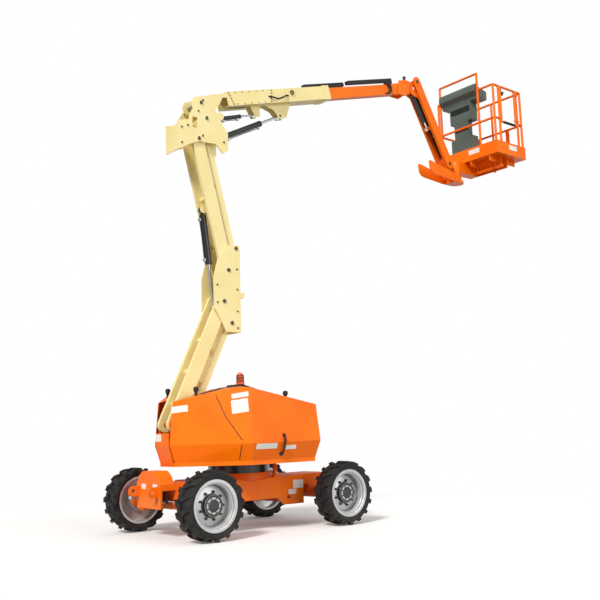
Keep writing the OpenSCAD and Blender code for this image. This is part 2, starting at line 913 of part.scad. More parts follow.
// Share of the plates' height that the front web reaches
web_share = 0.84;
// Shares of those sizes along the outline of a middle upright's plate
mid_shares = [
    [0.10, -1], [1, -1], [1, 1], [0.35, 1], [-0.55, 0.72], [-1, 0.42], [-1, -0.25], [-0.35, -0.62]
];

module mid_upright() {
    color(cream) {
        pair(plate_in, plate_out)
            translate(knee)
                polygon([for (s = mid_shares)
                    [s[0] * (s[0] > 0 ? mid_front : mid_back), s[1] * (s[1] > 0 ? mid_up : mid_down)]]);
        pin_pair(knee, tower_pin_r, riser_in - side_gap / 2, plate_out + bulkhead_t);
        pin_pair(hip, tower_pin_r, riser_in - side_gap / 2, plate_out + bulkhead_t);
        pin_pair(knee_link, tower_pin_r, link_in - side_gap / 2, plate_out + bulkhead_t);
        pin_pair(hip_link, tower_pin_r, link_in - side_gap / 2, plate_out + bulkhead_t);
        // front web that ties the plates together
        box([knee[0] + mid_front - plate_t, -plate_in, knee[1] - mid_down],
            [knee[0] + mid_front, plate_in, knee[1] + mid_up * web_share]);
        // ears of the tower cylinder's lower eye
        pair(lug_in, lug_out)
            bar(tower_foot, tower_foot + [mid_front + mid_back / 3, 0], eye_r);
        // bracket on the front web
        box([knee[0] + mid_front, -plate_out, knee[1] + boss_r],
            [knee[0] + mid_front + boss_r, -plate_out / 2, knee[1] + 2 * boss_r]);
    }
}

// Sizes of the upper upright's plates about the upper riser's top pin
crown_back = 310;
crown_front = 446;
crown_up = 540;
crown_down = 197;
// Place of the lift cylinder's foot, from the upper riser's top pin
lift_foot_x = 420;
lift_foot_z = 120;
// Place of the levelling cylinder's foot, from the boom's pivot
level_foot_x = 300;
level_foot_z = -115;
// Shares of those sizes along the outline of an upper upright's plate
crown_shares = [
    [-1, 0.33], [-0.98, -1], [-0.47, -0.52], [0, -0.21], [0.56, -0.13], [0.82, -0.70], [1, -0.40], [1, 0.28],
    [0.72, 0.57], [0.61, 0.76], [0.29, 0.93], [0.22, 1], [-0.06, 1], [-0.21, 0.73], [-0.41, 0.56], [-0.45, 0.41]
];
// Window in the plates: shares of the plates' back and height, low and high corner
window_low_share = [-0.30, 0.24];
window_high_share = [-0.06, 0.50];

lift_foot = crown + [lift_foot_x, lift_foot_z];
level_foot = boom_pin + [level_foot_x, level_foot_z];

module upper_upright() {
    color(cream) {
        pair(plate_in, plate_out)
            translate(crown)
                difference() {
                    polygon([for (s = crown_shares)
                        [s[0] * (s[0] > 0 ? crown_front : crown_back), s[1] * (s[1] > 0 ? crown_up : crown_down)]]);
                    translate([window_low_share[0] * crown_back, window_low_share[1] * crown_up])
                        square([(window_high_share[0] - window_low_share[0]) * crown_back,
                            (window_high_share[1] - window_low_share[1]) * crown_up]);
                }
        // ears of the levelling cylinder's foot
        pair(plate_in, plate_out)
            bar(crown + [crown_front * 0.4, crown_up * 0.4], level_foot, eye_r + side_gap);
        pin_pair(crown, tower_pin_r, riser_in - side_gap / 2, plate_out + bulkhead_t);
        pin_pair(crown_link, tower_pin_r, link_in - side_gap / 2, plate_out + bulkhead_t);
        pin_pair(boom_pin, tower_pin_r, root_in - side_gap / 2, plate_out + bulkhead_t);
        // back web that ties the plates together
        box([crown[0] - crown_back, -plate_in, crown[1] - crown_down],
            [crown[0] - crown_back + plate_t / 2, plate_in, crown[1] + crown_up / 4]);
        // feet of the lift and levelling cylinders
        pin(level_foot, eye_pin_r, -plate_in, plate_in);
        pair(lift_lug_in, lift_lug_out)
            bar(level_foot, lift_foot, eye_r);
        pin(lift_foot, eye_pin_r, -lift_lug_out, lift_lug_out);
    }
}

// Cylinders, each drawn from its foot towards its rod's eye

// Radius of a rod as a share of its barrel's radius
rod_share = 0.52;
// Radius of a barrel's neck as a share of half its eye's thickness
neck_share = 0.9;
// Length of a gland's collar
gland_len = 34;

// A barrel with its foot's eye round the pin of its carrier
module barrel(foot_at, eye_at, r, len) {
    span = eye_at - foot_at;
    neck = eye_r + 3 * side_gap;
    difference() {
        union() {
            pin(foot_at, eye_r, -eye_half, eye_half);
            along(foot_at, span) {
                cylinder(r = min(r, eye_half * neck_share), h = neck + side_gap);
                translate([0, 0, neck])
                    cylinder(r = r, h = len - neck);
                translate([0, 0, len - gland_len])
                    cylinder(r = r + side_gap / 4, h = gland_len);
            }
        }
        pin(foot_at, eye_pin_r + run, -plate_in, plate_in);
        along(foot_at, span)
            translate([0, 0, neck + 2 * side_gap])
                cylinder(r = r * rod_share + run, h = len);
    }
}

// Stands a part along a line of the upright plane, with +Z towards its end
module along(start, span) {
    translate([start[0], 0, start[1]])
        rotate([0, 90 - atan2(span[1], span[0]), 0])
            children();
}

// A rod in its barrel, with an eye at its end
module piston(foot_at, eye_at, r, inside) {
    span = eye_at - foot_at;
    pin(eye_at, eye_r * 0.9, -eye_half, eye_half);
    along(foot_at, span)
        translate([0, 0, inside])
            cylinder(r = r * rod_share, h = norm(span) - inside);
}

// Lengths of the barrels, and where their rods start inside them
tower_barrel_len = 700;
tower_rod_in = 600;
lift_barrel_len = 745;
lift_rod_in = 420;
level_barrel_len = 430;
level_rod_in = 300;
jib_barrel_len = 470;
jib_rod_in = 400;

module tower_barrel() { color(black) barrel(tower_eye, tower_foot, tower_barrel_r, tower_barrel_len); }
module tower_rod() { color(silver) piston(tower_eye, tower_foot, tower_barrel_r, tower_rod_in); }

// Boom

// Height of the boom's centre line over its pivot
boom_rise = 30;
// Layer of the root's cheeks, and their reach along the boom and up from the pivot
root_in = 100;
root_long = 416;
root_up = 131;
// Start of the closed box along the boom, and of the shoulders that join it to the root
box_start = 450;
shoulder_start = 300;
shoulder_over = 50;
// Slot in the box's floor for the levelling cylinder
slot_half = 42;
slot_end = 820;
// Shares of the root cheeks' outline, of their reach along the boom and up
root_shares = [
    [-0.30, -0.43], [-0.27, 0.22], [-0.17, 0.63], [1, 0.84], [0.79, -0.07], [0.43, -1], [0, -1]
];
// Length of the fly inside the base at rest
fly_overlap = 640;
// Thickness of the wear pads' gap and length of the pads
pad_len = 120;
// Wall of the fly section
fly_wall = 8;
// Place of the lift cylinder's eye on the boom: along it and below its pivot
lift_eye_along = 1347;
lift_eye_drop = 235;
// Place of the levelling cylinder's eye on the boom
level_eye_along = 940;
level_eye_drop = 180;
// Ends of the side covers along the boom
cover_start = 478;
cover_end = 1249;
cover_t = 8;
// Lengths of the lugs along the boom
lift_lug_len = 360;
// Shares of the lift lug's length along its outline
lift_lug_shares = [-0.68, 0.68, 0.26, -0.06, -0.27];
level_lug_len = 170;

boom_dir = polar(1, boom_ang);
lift_eye = boom_pin + turned([lift_eye_along, -lift_eye_drop], boom_ang);
level_eye = boom_pin + turned([level_eye_along, -level_eye_drop], boom_ang);
nose_pin = boom_pin + turned([fly_reach, boom_rise], boom_ang);

// Draws in the boom's own frame: +X along the boom from its pivot, +Z over it
module on_boom() {
    translate([boom_pin[0], 0, boom_pin[1]])
        rotate([0, -boom_ang, 0])
            children();
}

module boom_base() {
    low = boom_rise - base_h / 2;
    top = low + base_h;
    color(cream)
        on_boom() {
            // root cheeks on the pivot
            pair(root_in, riser_out)
                difference() {
                    polygon(outline(root_shares, root_long, root_up));
                    circle(tower_pin_r + run);
                }
            // shoulders from the root to the box
            pair(root_in, base_w / 2)
                polygon([
                    [shoulder_start, shoulder_over], [box_start + pad_len / 2, shoulder_over],
                    [box_start + pad_len / 2, top - base_wall / 2], [root_long - side_gap, root_up * root_shares[3][1] - side_gap],
                    [shoulder_start, root_up * root_shares[2][1]]
                ]);
            difference() {
                union() {
                    box([box_start, -base_w / 2, low], [base_reach, base_w / 2, top]);
                    // collar at the mouth
                    box([base_reach - pad_len, -base_w / 2 - cover_t, low - cover_t],
                        [base_reach, base_w / 2 + cover_t, top + cover_t]);
                }
                box([box_start - over, -base_w / 2 + base_wall, low + base_wall],
                    [base_reach - 2 * pad_len, base_w / 2 - base_wall, top - base_wall]);
                // mouth that guides the fly
                box([base_reach - 3 * pad_len, -fly_w / 2 - run, boom_rise - fly_h / 2 - run],
                    [base_reach + over, fly_w / 2 + run, boom_rise + fly_h / 2 + run]);
                // slot for the levelling cylinder when the boom is low
                box([box_start - over, -slot_half, low - over], [slot_end, slot_half, low + base_wall + over]);
            }
            // side covers
            for (side = [-1, 1])
                translate([0, side * (base_w / 2 + cover_t / 2) + cover_t / 2, 0])
                    rotate([90, 0, 0])
                        linear_extrude(cover_t)
                            polygon([
                                [cover_start + base_h / 4, low], [cover_end - base_h / 3, low],
                                [cover_end, top], [cover_start, top]
                            ]);
            // lugs of the lift cylinder and of the levelling cylinder
            pair(lift_lug_in, lift_lug_out)
                translate([lift_eye_along, 0])
                    difference() {
                        polygon([
                            [lift_lug_shares[0] * lift_lug_len, low], [lift_lug_shares[1] * lift_lug_len, low],
                            [lift_lug_shares[2] * lift_lug_len, -lift_eye_drop - eye_r],
                            [lift_lug_shares[3] * lift_lug_len, -lift_eye_drop - eye_r],
                            [lift_lug_shares[4] * lift_lug_len, (low - lift_eye_drop) / 2]
                        ]);
                        translate([0, -lift_eye_drop])
                            circle(eye_pin_r);
                    }
            pair(lift_lug_in, lift_lug_out)
                polygon([
                    [level_eye_along - level_lug_len / 2, low], [level_eye_along + level_lug_len / 2, low],
                    [level_eye_along + level_lug_len / 4, -level_eye_drop - eye_r],
                    [level_eye_along - level_lug_len / 4, -level_eye_drop - eye_r]
                ]);
        }
}

// Sizes of the fly's nose fork
nose_len = 190;
nose_plate_in = 44;

module boom_fly() {
    color(shade_orange)
        on_boom() {
            difference() {
                union() {
                    box([base_reach - fly_overlap, -fly_w / 2, boom_rise - fly_h / 2],
                        [fly_reach - nose_len, fly_w / 2, boom_rise + fly_h / 2]);
                    // fork plates with the nose pin's bore
                    pair(nose_plate_in, fly_w / 2) {
                        translate([fly_reach - nose_len - fly_wall / 2, boom_rise - fly_h / 2])
                            square([nose_len + fly_wall / 2, fly_h]);
                        translate([fly_reach, boom_rise])
                            circle(fly_h / 2);
                    }
                }
                box([base_reach - fly_overlap - over, -fly_w / 2 + fly_wall, boom_rise - fly_h / 2 + fly_wall],
                    [fly_reach - nose_len - fly_wall, fly_w / 2 - fly_wall, boom_rise + fly_h / 2 - fly_wall]);
                pin([fly_reach, boom_rise], eye_pin_r + run, -fly_w, fly_w);
            }
        }
}

// Cable carrier: width, height, how far it reaches past the base's mouth and behind it, and its tray's length
carrier_w = 60;
carrier_h = 56;
carrier_ahead = 470;
carrier_back = 340;
tray_len = 995;
// Height of the carrier over the base section's collar
carrier_lift = 14;
// Number of links that show in the carrier, the share of the pitch each fills, and its ribs' height
carrier_links = 13;
link_share = 0.7;
rib_in = 4;

module carrier_chain() {
    low = boom_rise + base_h / 2 + cover_t;
    start = base_reach - carrier_back;
    pitch = (carrier_back + carrier_ahead) / carrier_links;
    color(black)
        on_boom() {
            // foot plate on the base section
            box([start, side_gap, low], [base_reach, side_gap + carrier_w, low + carrier_lift]);
            box([start, side_gap + rib_in, low + carrier_lift - rib_in],
                [base_reach + carrier_ahead, side_gap + carrier_w - rib_in, low + carrier_lift + carrier_h - rib_in]);
            for (i = [0:carrier_links - 1])
                translate([start + i * pitch, 0, low + carrier_lift])
                    box([0, side_gap, 0], [pitch * link_share, side_gap + carrier_w, carrier_h]);
        }
}

module carrier_tray() {
    low = boom_rise + base_h / 2 + cover_t + carrier_lift;
    start = fly_reach - nose_len - tray_len;
    color(black)
        on_boom() {
            difference() {
                box([start, -carrier_w, low], [fly_reach - nose_len, -side_gap / 2, low + carrier_h]);
                box([start - over, -carrier_w + cover_t, low + cover_t],
                    [fly_reach - nose_len + over, -side_gap / 2 - cover_t, low + carrier_h + over]);
            }
            // stand on the fly's nose end
            box([fly_reach - nose_len - pad_len, -carrier_w + cover_t, boom_rise + fly_h / 2],
                [fly_reach - nose_len, -side_gap / 2 - cover_t, low]);
        }
}

module lift_barrel() { color(black) barrel(lift_foot, lift_eye, lift_barrel_r, lift_barrel_len); }
module lift_rod() { color(silver) piston(lift_foot, lift_eye, lift_barrel_r, lift_rod_in); }
module level_barrel() { color(black) barrel(level_foot, level_eye, level_barrel_r, level_barrel_len); }
module level_rod() { color(silver) piston(level_foot, level_eye, level_barrel_r, level_rod_in); }

// Jib

// Place of the jib's upper pin from the nose pin
jib_pin_x = 322;
jib_pin_z = 179;
// Offset of the jib link's pins from the jib arm's
jib_link_x = 42;
jib_link_z = -200;
// Layers of the jib outwards from the centre plane: the knuckle's hub, the link, the arm and the head's sled
hub_in = 46;
hub_out = 60;
jlink_t = 12;
arm_t = 14;
sled_t = 10;
jlink_in = hub_out + side_gap;
jlink_out = jlink_in + jlink_t;
arm_in = jlink_out + side_gap;
arm_out = arm_in + arm_t;
sled_in = arm_out + side_gap + 2 * seat;
sled_out = sled_in + sled_t;
// Depth of the jib link
jib_link_depth = 56;
// Radius of the jib's pins
jib_pin_r = 20;
// Place of the jib cylinder's foot under the jib's upper pin
jib_foot_drop = 200;
// Place of the jib cylinder's eye on the arm: along it and below it
jib_eye_along = 760;
jib_eye_drop = 75;
// Half width of the ears that hold it
ear_half = 28;
// Thickness of the arm's cover plate, and how far it stays from the arm's pins
arm_cover_t = 12;
cover_inset = 100;
// Half depth of the hub plates round the jib's pins
hub_half = 45;
// Size of the knuckle's nose block, its cheeks' thickness, and shares of that size round the nose pin
nose_block = 165;
nose_cheek_t = 14;
nose_block_shares = [[-0.73, -0.73], [0.36, -0.70], [0.85, -0.36], [1, 0.90], [0.36, 0.90], [-0.48, 0.66]];
// Shares of the cross block between the cheeks
cross_block_shares = [[0.64, -0.36], [0.85, -0.36], [1, 0.85], [0.64, 0.85]];
hub_root_share = [0.82, 0.26];

jib_ang = -jib_drop;
jib_pin = nose_pin + [jib_pin_x, jib_pin_z];
jib_link_pin = jib_pin + [jib_link_x, jib_link_z];
head_pin = jib_pin + polar(jib_len, jib_ang);
head_link_pin = jib_link_pin + polar(jib_len, jib_ang);
jib_foot = jib_pin + [0, -jib_foot_drop];
jib_eye = jib_pin + turned([jib_eye_along, -jib_eye_drop], jib_ang);

module nose_knuckle() {
    cheek_in = fly_w / 2 + side_gap;
    cheek_out = cheek_in + nose_cheek_t;
    color(orange) {
        // bright block round the fly's fork
        pair(cheek_in, cheek_out)
            translate(nose_pin)
                polygon(outline(nose_block_shares, nose_block, nose_block));
        across(-cheek_out, cheek_out)
            translate(nose_pin)
                polygon(outline(cross_block_shares, nose_block, nose_block));
        pin(nose_pin, eye_pin_r, -cheek_out, cheek_out);
        // hub plates with the jib's pins
        pair(hub_in, hub_out) {
            bar(nose_pin + nose_block * hub_root_share, jib_pin, hub_half);
            bar(nose_pin + nose_block * hub_root_share, jib_foot, hub_half);
            bar(jib_pin, jib_link_pin, hub_half);
            bar(jib_foot, jib_link_pin, hub_half);
        }
        pin_pair(jib_pin, jib_pin_r, hub_in, arm_out + side_gap / 2);
        pin_pair(jib_link_pin, jib_pin_r, hub_in, jlink_out + side_gap / 2);
        // foot pin of the jib cylinder
        pin(jib_foot, eye_pin_r, -hub_in, hub_in);
    }
}

module jib_arm() {
    color(orange)
        difference() {
            union() {
                pair(arm_in, arm_out)
                    bar(jib_pin, head_pin, jib_depth / 2);
                // cover plate on the upper edges
                translate([jib_pin[0], 0, jib_pin[1]])
                    rotate([0, -jib_ang, 0])
                        box([cover_inset, -arm_in, jib_depth / 2 - arm_cover_t],
                            [jib_len - cover_inset, arm_in, jib_depth / 2]);
                // ears of the jib cylinder's eye
                pair(lug_in, lug_out)
                    bar(jib_eye, jib_eye + turned([0, jib_eye_drop + jib_depth / 2 - ear_half], jib_ang), ear_half);
            }
            for (end = [jib_pin, head_pin])
                pin(end, jib_pin_r + run, -sled_out, sled_out);
        }
}

module jib_link() {
    color(orange)
        difference() {
            pair(jlink_in, jlink_out)
                bar(jib_link_pin, head_link_pin, jib_link_depth / 2);
            for (end = [jib_link_pin, head_link_pin])
                pin(end, jib_pin_r + run, -sled_out, sled_out);
        }
}

module jib_barrel() { color(black) barrel(jib_foot, jib_eye, jib_barrel_r, jib_barrel_len); }
module jib_rod() { color(silver) piston(jib_foot, jib_eye, jib_barrel_r, jib_rod_in); }

// Rotator: place of its axis in front of the jib's lower pin, and its size
rotator_ahead = 254;
rotator_r = 84;
rotator_h = 320;
rotator_pin_r = 40;
// Thickness of the head's base plate
head_plate_t = 40;
// Reach of the head's sled behind the jib's lower pin, its height, and shares of both along its outline
sled_back = 530;
sled_h = 210;
sled_shares = [
    [-1, 0.9], [-0.97, 0.35], [-0.90, 0.12], [-0.78, 0], [0.10, -0.19], [0.48, -0.19], [0.48, 0.32], [0.10, 0.48],
    [-0.90, 1], [-0.97, 0.98]
];

rotator_x = head_pin[0] + rotator_ahead;
head_low = head_link_pin[1] - hub_half;

module jib_head() {
    base_x = head_pin[0] + jib_depth / 2 + side_gap;
    color(shade_orange) {
        // hub plates round the jib's lower pins, out to the base
        pair(hub_in, hub_out) {
            bar(head_pin, head_link_pin, hub_half);
            translate([head_link_pin[0], head_low])
                square([rotator_x - rotator_r - side_gap - head_link_pin[0], 2 * hub_half]);
            translate([base_x, head_low - head_plate_t])
                square([rotator_x - rotator_r - side_gap - base_x, 2 * head_plate_t]);
        }
        pin_pair(head_pin, jib_pin_r, hub_in, arm_out + side_gap / 2);
        pin_pair(head_link_pin, jib_pin_r, hub_in, jlink_out + side_gap / 2);
        // sled plates outside the arm
        pair(sled_in, sled_out)
            translate([head_pin[0], head_low])
                polygon(outline(sled_shares, sled_back, sled_h));
        // base plate to the rotator
        box([base_x, -sled_out, head_low - head_plate_t], [rotator_x, sled_out, head_low]);
        translate([rotator_x, 0, head_low - head_plate_t])
            cylinder(r = sled_out, h = head_plate_t);
        translate([rotator_x, 0, head_low - seat])
            cylinder(r = rotator_pin_r, h = rotator_h);
    }
}

// Platform

// Gap between the rotator's axis and the platform's inner side
deck_ahead = 150;
// Height of the deck's underside over the rotator's base
deck_over = 339;
// Thickness of the deck and of the toe board
deck_t = 40;
toe_t = 6;
// Set-off of the platform's middle from the boom's plane
deck_off = -150;
// Sizes of the holed beam under the deck, its place and its ends across the machine
beam_at = 190;
beam_reach = 690;
beam_back = 84;
beam_w = 150;
beam_h = 190;
beam_t = 8;
beam_hole_r = 26;
beam_holes = 6;
beam_pitch = 90;
// Shares of the pitch before the first hole, of the beam's height under the holes, and of its reach at the joists
beam_start_share = 0.6;
hole_share = 0.36;
joist_shares = [0.30, 0.85];

deck_x = rotator_x + deck_ahead;
deck_low = head_low + deck_over;
deck_top = deck_low + deck_t;
rail_top = deck_top + rail_h;
deck_y0 = deck_off - deck_len / 2;
deck_y1 = deck_off + deck_len / 2;

module platform_support() {
    low = deck_low - beam_h;
    start = deck_x + beam_at;
    color(shade_orange) {
        difference() {
            union() {
                // rotator housing and the arm to the beam
                translate([rotator_x, 0, head_low + seat])
                    cylinder(r = rotator_r, h = rotator_h);
                box([rotator_x, -rotator_r, low], [start + beam_w, rotator_r, deck_low - beam_t]);
            }
            translate([rotator_x, 0, head_low - over])
                cylinder(r = rotator_pin_r + run, h = rotator_h + 2 * over);
        }
        // beam under the deck, with a row of round holes
        difference() {
            union() {
                box([start, -beam_reach, low], [start + beam_t, beam_back, deck_low]);
                box([start + beam_w - beam_t, -beam_reach, low], [start + beam_w, beam_back, deck_low]);
            }
            for (i = [0:beam_holes - 1])
                translate([start - over, -rotator_r - beam_pitch * (i + beam_start_share), low + beam_h * hole_share])
                    rotate([0, 90, 0])
                        cylinder(r = beam_hole_r, h = beam_w + 2 * over, $fn = 24);
        }
        box([start, -beam_reach, deck_low - beam_t], [start + beam_w, beam_back, deck_low]);
        // joists along the boom on both sides of the beam
        for (s = joist_shares)
            for (reach = [[deck_x + beam_t, start], [start + beam_w, deck_x + deck_w - beam_at / 2]])
                box([reach[0], -beam_reach * s - beam_t, deck_low - beam_h / 2], [reach[1], -beam_reach * s + beam_t, deck_low]);
    }
}

// Width of the gateway in the near end of the platform, and its place from the inner side
gate_w = 470;
gate_at = 160;
// Height of the middle rail, and of the gate's lower edge over the deck
mid_rail_h = 560;
gate_low_h = 520;

// An upright of the rails
module post(x, y, top) {
    translate([x, y, deck_top])
        cylinder(r = rail_r, h = top - deck_top, $fn = 20);
}

module platform_deck() {
    color(orange) {
        box([deck_x, deck_y0, deck_low], [deck_x + deck_w, deck_y1, deck_top]);
        difference() {
            box([deck_x, deck_y0, deck_top], [deck_x + deck_w, deck_y1, deck_top + toe_h]);
            box([deck_x + toe_t, deck_y0 + toe_t, deck_top],
                [deck_x + deck_w - toe_t, deck_y1 - toe_t, deck_top + toe_h + over]);
        }
    }
}

// Centre lines of the rails, a small gap inside the toe board
rail_gap = 2;
rail_in = rail_r + toe_t + rail_gap;
rail_x0 = deck_x + rail_in;
rail_x1 = deck_x + deck_w - rail_in;
rail_y0 = deck_y0 + rail_in;
rail_y1 = deck_y1 - rail_in;
gate_x0 = deck_x + gate_at;
gate_x1 = gate_x0 + gate_w;
// Ends of the console's guard loop along the inner side
loop_y0 = -420;
loop_y1 = 380;

module platform_rails() {
    color(orange) {
        for (x = [rail_x0, rail_x1], y = [rail_y0, rail_y1])
            post(x, y, rail_top - rail_r);
        for (x = [gate_x0, gate_x1])
            post(x, rail_y0, rail_top - rail_r);
        for (y = [loop_y0, loop_y1])
            post(rail_x0, y, rail_top + loop_h - rail_r);
        post(rail_x1, deck_off, rail_top - rail_r);
        for (z = [rail_top - rail_r, deck_top + mid_rail_h]) {
            // outer side and far end
            rod([rail_x1, rail_y0, z], [rail_x1, rail_y1, z], rail_r);
            rod([rail_x0, rail_y1, z], [rail_x1, rail_y1, z], rail_r);
            // inner side on both sides of the console
            rod([rail_x0, rail_y0, z], [rail_x0, loop_y0, z], rail_r);
            rod([rail_x0, loop_y1, z], [rail_x0, rail_y1, z], rail_r);
            // near end beside the gateway
            rod([rail_x0, rail_y0, z], [gate_x0, rail_y0, z], rail_r);
            rod([gate_x1, rail_y0, z], [rail_x1, rail_y0, z], rail_r);
            for (x = [rail_x0, rail_x1], y = [rail_y0, rail_y1])
                translate([x, y, z])
                    sphere(rail_r, $fn = 20);
        }
        rod([rail_x0, loop_y0, deck_top + mid_rail_h], [rail_x0, loop_y1, deck_top + mid_rail_h], rail_r);
        rod([rail_x0, loop_y0, rail_top + loop_h - rail_r], [rail_x0, loop_y1, rail_top + loop_h - rail_r], rail_r);
        for (y = [loop_y0, loop_y1])
            translate([rail_x0, y, rail_top + loop_h - rail_r])
                sphere(rail_r, $fn = 20);
    }
}

// Thickness of a lanyard plate and its size round the eye
lanyard_t = 12;
lanyard_half = 34;

module lanyard_eyes() {
    z = deck_top + mid_rail_h / 2;
    color(orange)
        for (side = [-1, 1])
            difference() {
                union() {
                    box([rail_x1 - rail_r - 2 * lanyard_half, deck_off + side * deck_len / 4 - lanyard_t / 2, z - lanyard_half],
                        [rail_x1 - rail_r, deck_off + side * deck_len / 4 + lanyard_t / 2, z + lanyard_half]);
                    box([rail_x1 - rail_r, deck_off + side * deck_len / 4 - lanyard_half, deck_top],
                        [rail_x1 - rail_r + lanyard_t, deck_off + side * deck_len / 4 + lanyard_half,
                            deck_top + mid_rail_h - rail_r]);
                }
                pin([rail_x1 - rail_r - 1.2 * lanyard_half, z], lanyard_eye_r, -deck_len, deck_len);
            }
}

// Running gap at both ends of the gate
gate_gap = 6;

module gate() {
    low = deck_top + gate_low_h;
    high = rail_top - rail_r;
    x0 = gate_x0 + 2 * rail_r + gate_gap;
    x1 = gate_x1 - 2 * rail_r - gate_gap;
    color(orange) {
        for (z = [low, high])
            rod([x0, rail_y0, z], [x1, rail_y0, z], rail_r);
        for (x = [x0, x1])
            rod([x, rail_y0, low], [x, rail_y0, high], rail_r);
        for (x = [x0, x1], z = [low, high])
            translate([x, rail_y0, z])
                sphere(rail_r, $fn = 20);
        // hinge straps round the hinge post
        for (z = [low + 4 * rail_r, high - 4 * rail_r])
            difference() {
                translate([0, 0, z])
                    linear_extrude(rail_r)
                        bar([x1, rail_y0], [gate_x1, rail_y0], rail_r + beam_t);
                translate([gate_x1, rail_y0, z - over])
                    cylinder(r = rail_r + run, h = rail_r + 2 * over);
                translate([x1, rail_y0, z - over])
                    cylinder(r = rail_r, h = rail_r + 2 * over);
            }
    }
}

// Sizes of the control console: its lid, the box under it, and the stand
console_deep = 250;
console_over = 90;
lid_h = 230;
lid_up = 90;
lid_back = 84;
stand_w = 450;
stand_deep = 150;
band_h = 80;
// Gap between the lid and the posts of its guard loop
lid_gap = 6;
// Shares of the lid's reach and of its height along its side outline
lid_shares = [[0, 0.74], [0.05, 1], [1, 0.70], [1, 0.10], [0.90, 0], [0.26, 0], [0.20, 0.30], [0, 0.48]];

module console() {
    y = (loop_y0 + loop_y1) / 2;
    half = (loop_y1 - loop_y0) / 2 - rail_r - lid_gap;
    x = rail_x0 + rail_r;
    low = rail_top + lid_up - lid_h;
    color(console_grey) {
        // lid that leans out over the inner side
        across(y - half, y + half)
            translate([x - console_over, low])
                polygon(outline(lid_shares, console_over + console_deep, lid_h));
        box([x, y - stand_w / 2, low - lid_back - lid_h], [x + console_deep - lid_back, y + stand_w / 2, low]);
        box([x, y - stand_w / 2 + band_h, deck_top],
            [x + stand_deep - band_h / 2, y + stand_w / 2 - band_h, low - lid_back - lid_h]);
        box([x, y - stand_w / 2, deck_top + toe_h], [x + stand_deep, y + stand_w / 2, deck_top + toe_h + 3 * band_h]);
    }
}

chassis_frame();
steer_axle();
drive_axle();
steer_cylinder();
steer_rod();
slew_bearing();
tie_down_lugs();
knuckle_left();
knuckle_right();
tyre_steer_left();
tyre_steer_right();
tyre_drive_left();
tyre_drive_right();
rim_steer_left();
rim_steer_right();
rim_drive_left();
rim_drive_right();
turntable();
counterweight();
engine_block();
tank_block();
hood_near();
hood_far();
hood_fittings();
hood_post_far();
beacon();
lower_riser();
lower_link();
mid_upright();
upper_riser();
upper_link();
upper_upright();
tower_barrel();
tower_rod();
boom_base();
boom_fly();
carrier_chain();
carrier_tray();
lift_barrel();
lift_rod();
level_barrel();
level_rod();
nose_knuckle();
jib_arm();
jib_link();
jib_barrel();
jib_rod();
jib_head();
platform_support();
platform_deck();
platform_rails();
lanyard_eyes();
gate();
console();
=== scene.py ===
import bpy
import bmesh
import json
import math
from mathutils import Matrix, Vector
from mathutils.bvhtree import BVHTree


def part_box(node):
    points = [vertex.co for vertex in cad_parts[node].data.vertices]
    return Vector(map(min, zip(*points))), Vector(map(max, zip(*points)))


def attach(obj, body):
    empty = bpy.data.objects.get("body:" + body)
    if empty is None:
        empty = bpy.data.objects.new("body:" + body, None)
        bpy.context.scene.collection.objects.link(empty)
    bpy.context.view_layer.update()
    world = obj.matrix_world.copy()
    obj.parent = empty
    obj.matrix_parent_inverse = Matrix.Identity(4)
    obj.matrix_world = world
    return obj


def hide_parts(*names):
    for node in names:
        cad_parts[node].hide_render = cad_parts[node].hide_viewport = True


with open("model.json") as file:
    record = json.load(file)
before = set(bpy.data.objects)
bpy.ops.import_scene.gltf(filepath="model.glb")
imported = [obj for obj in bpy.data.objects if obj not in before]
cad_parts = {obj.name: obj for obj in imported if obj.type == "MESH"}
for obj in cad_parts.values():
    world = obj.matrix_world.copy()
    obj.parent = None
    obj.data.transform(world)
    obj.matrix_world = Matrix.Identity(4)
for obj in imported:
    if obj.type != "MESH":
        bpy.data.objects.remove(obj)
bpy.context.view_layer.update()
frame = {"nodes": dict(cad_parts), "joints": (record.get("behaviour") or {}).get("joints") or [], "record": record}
nodes = frame["nodes"]
joints = {j["name"]: j for j in frame["joints"]}
scene = bpy.context.scene
scene.view_settings.view_transform = "Standard"


# Node trees

def add(tree, kind, values=None, **settings):
    """Adds a node, sets its properties, and fills its inputs with numbers or links."""
    node = tree.nodes.new(kind)
    for key, value in settings.items():
        setattr(node, key, value)
    for key, value in (values or {}).items():
        if isinstance(value, bpy.types.NodeSocket):
            tree.links.new(value, node.inputs[key])
        else:
            node.inputs[key].default_value = value
    return node


def math_node(tree, operation, a, b=0.0, clamp=False):
    return add(tree, "ShaderNodeMath", {0: a, 1: b}, operation=operation, use_clamp=clamp).outputs[0]


def ramp(tree, value, low, high):
    """Maps a value from low..high to 0..1 with soft ends."""
    return add(tree, "ShaderNodeMapRange", {"Value": value, "From Min": low, "From Max": high},
               interpolation_type="SMOOTHSTEP").outputs["Result"]


def mix_colour(tree, share, a, b):
    """Blends two colours; the node's colour sockets are inputs 6 and 7 and output 2."""
    return add(tree, "ShaderNodeMix", {0: share, 6: a, 7: b}, data_type="RGBA").outputs[2]


def new_group(name, inputs, outputs):
    """A shader node group with named float inputs and outputs; returns its tree and its two ends."""
    tree = bpy.data.node_groups.new(name, "ShaderNodeTree")
    for label, default in inputs:
        socket = tree.interface.new_socket(label, in_out="INPUT", socket_type="NodeSocketFloat")
        socket.default_value = default
    for label in outputs:
        tree.interface.new_socket(label, in_out="OUTPUT", socket_type="NodeSocketFloat")
    return tree, tree.nodes.new("NodeGroupInput"), tree.nodes.new("NodeGroupOutput")


def object_place(tree):
    """The place of a shaded point in its object's own frame, in metres."""
    return add(tree, "ShaderNodeTexCoord").outputs["Object"]


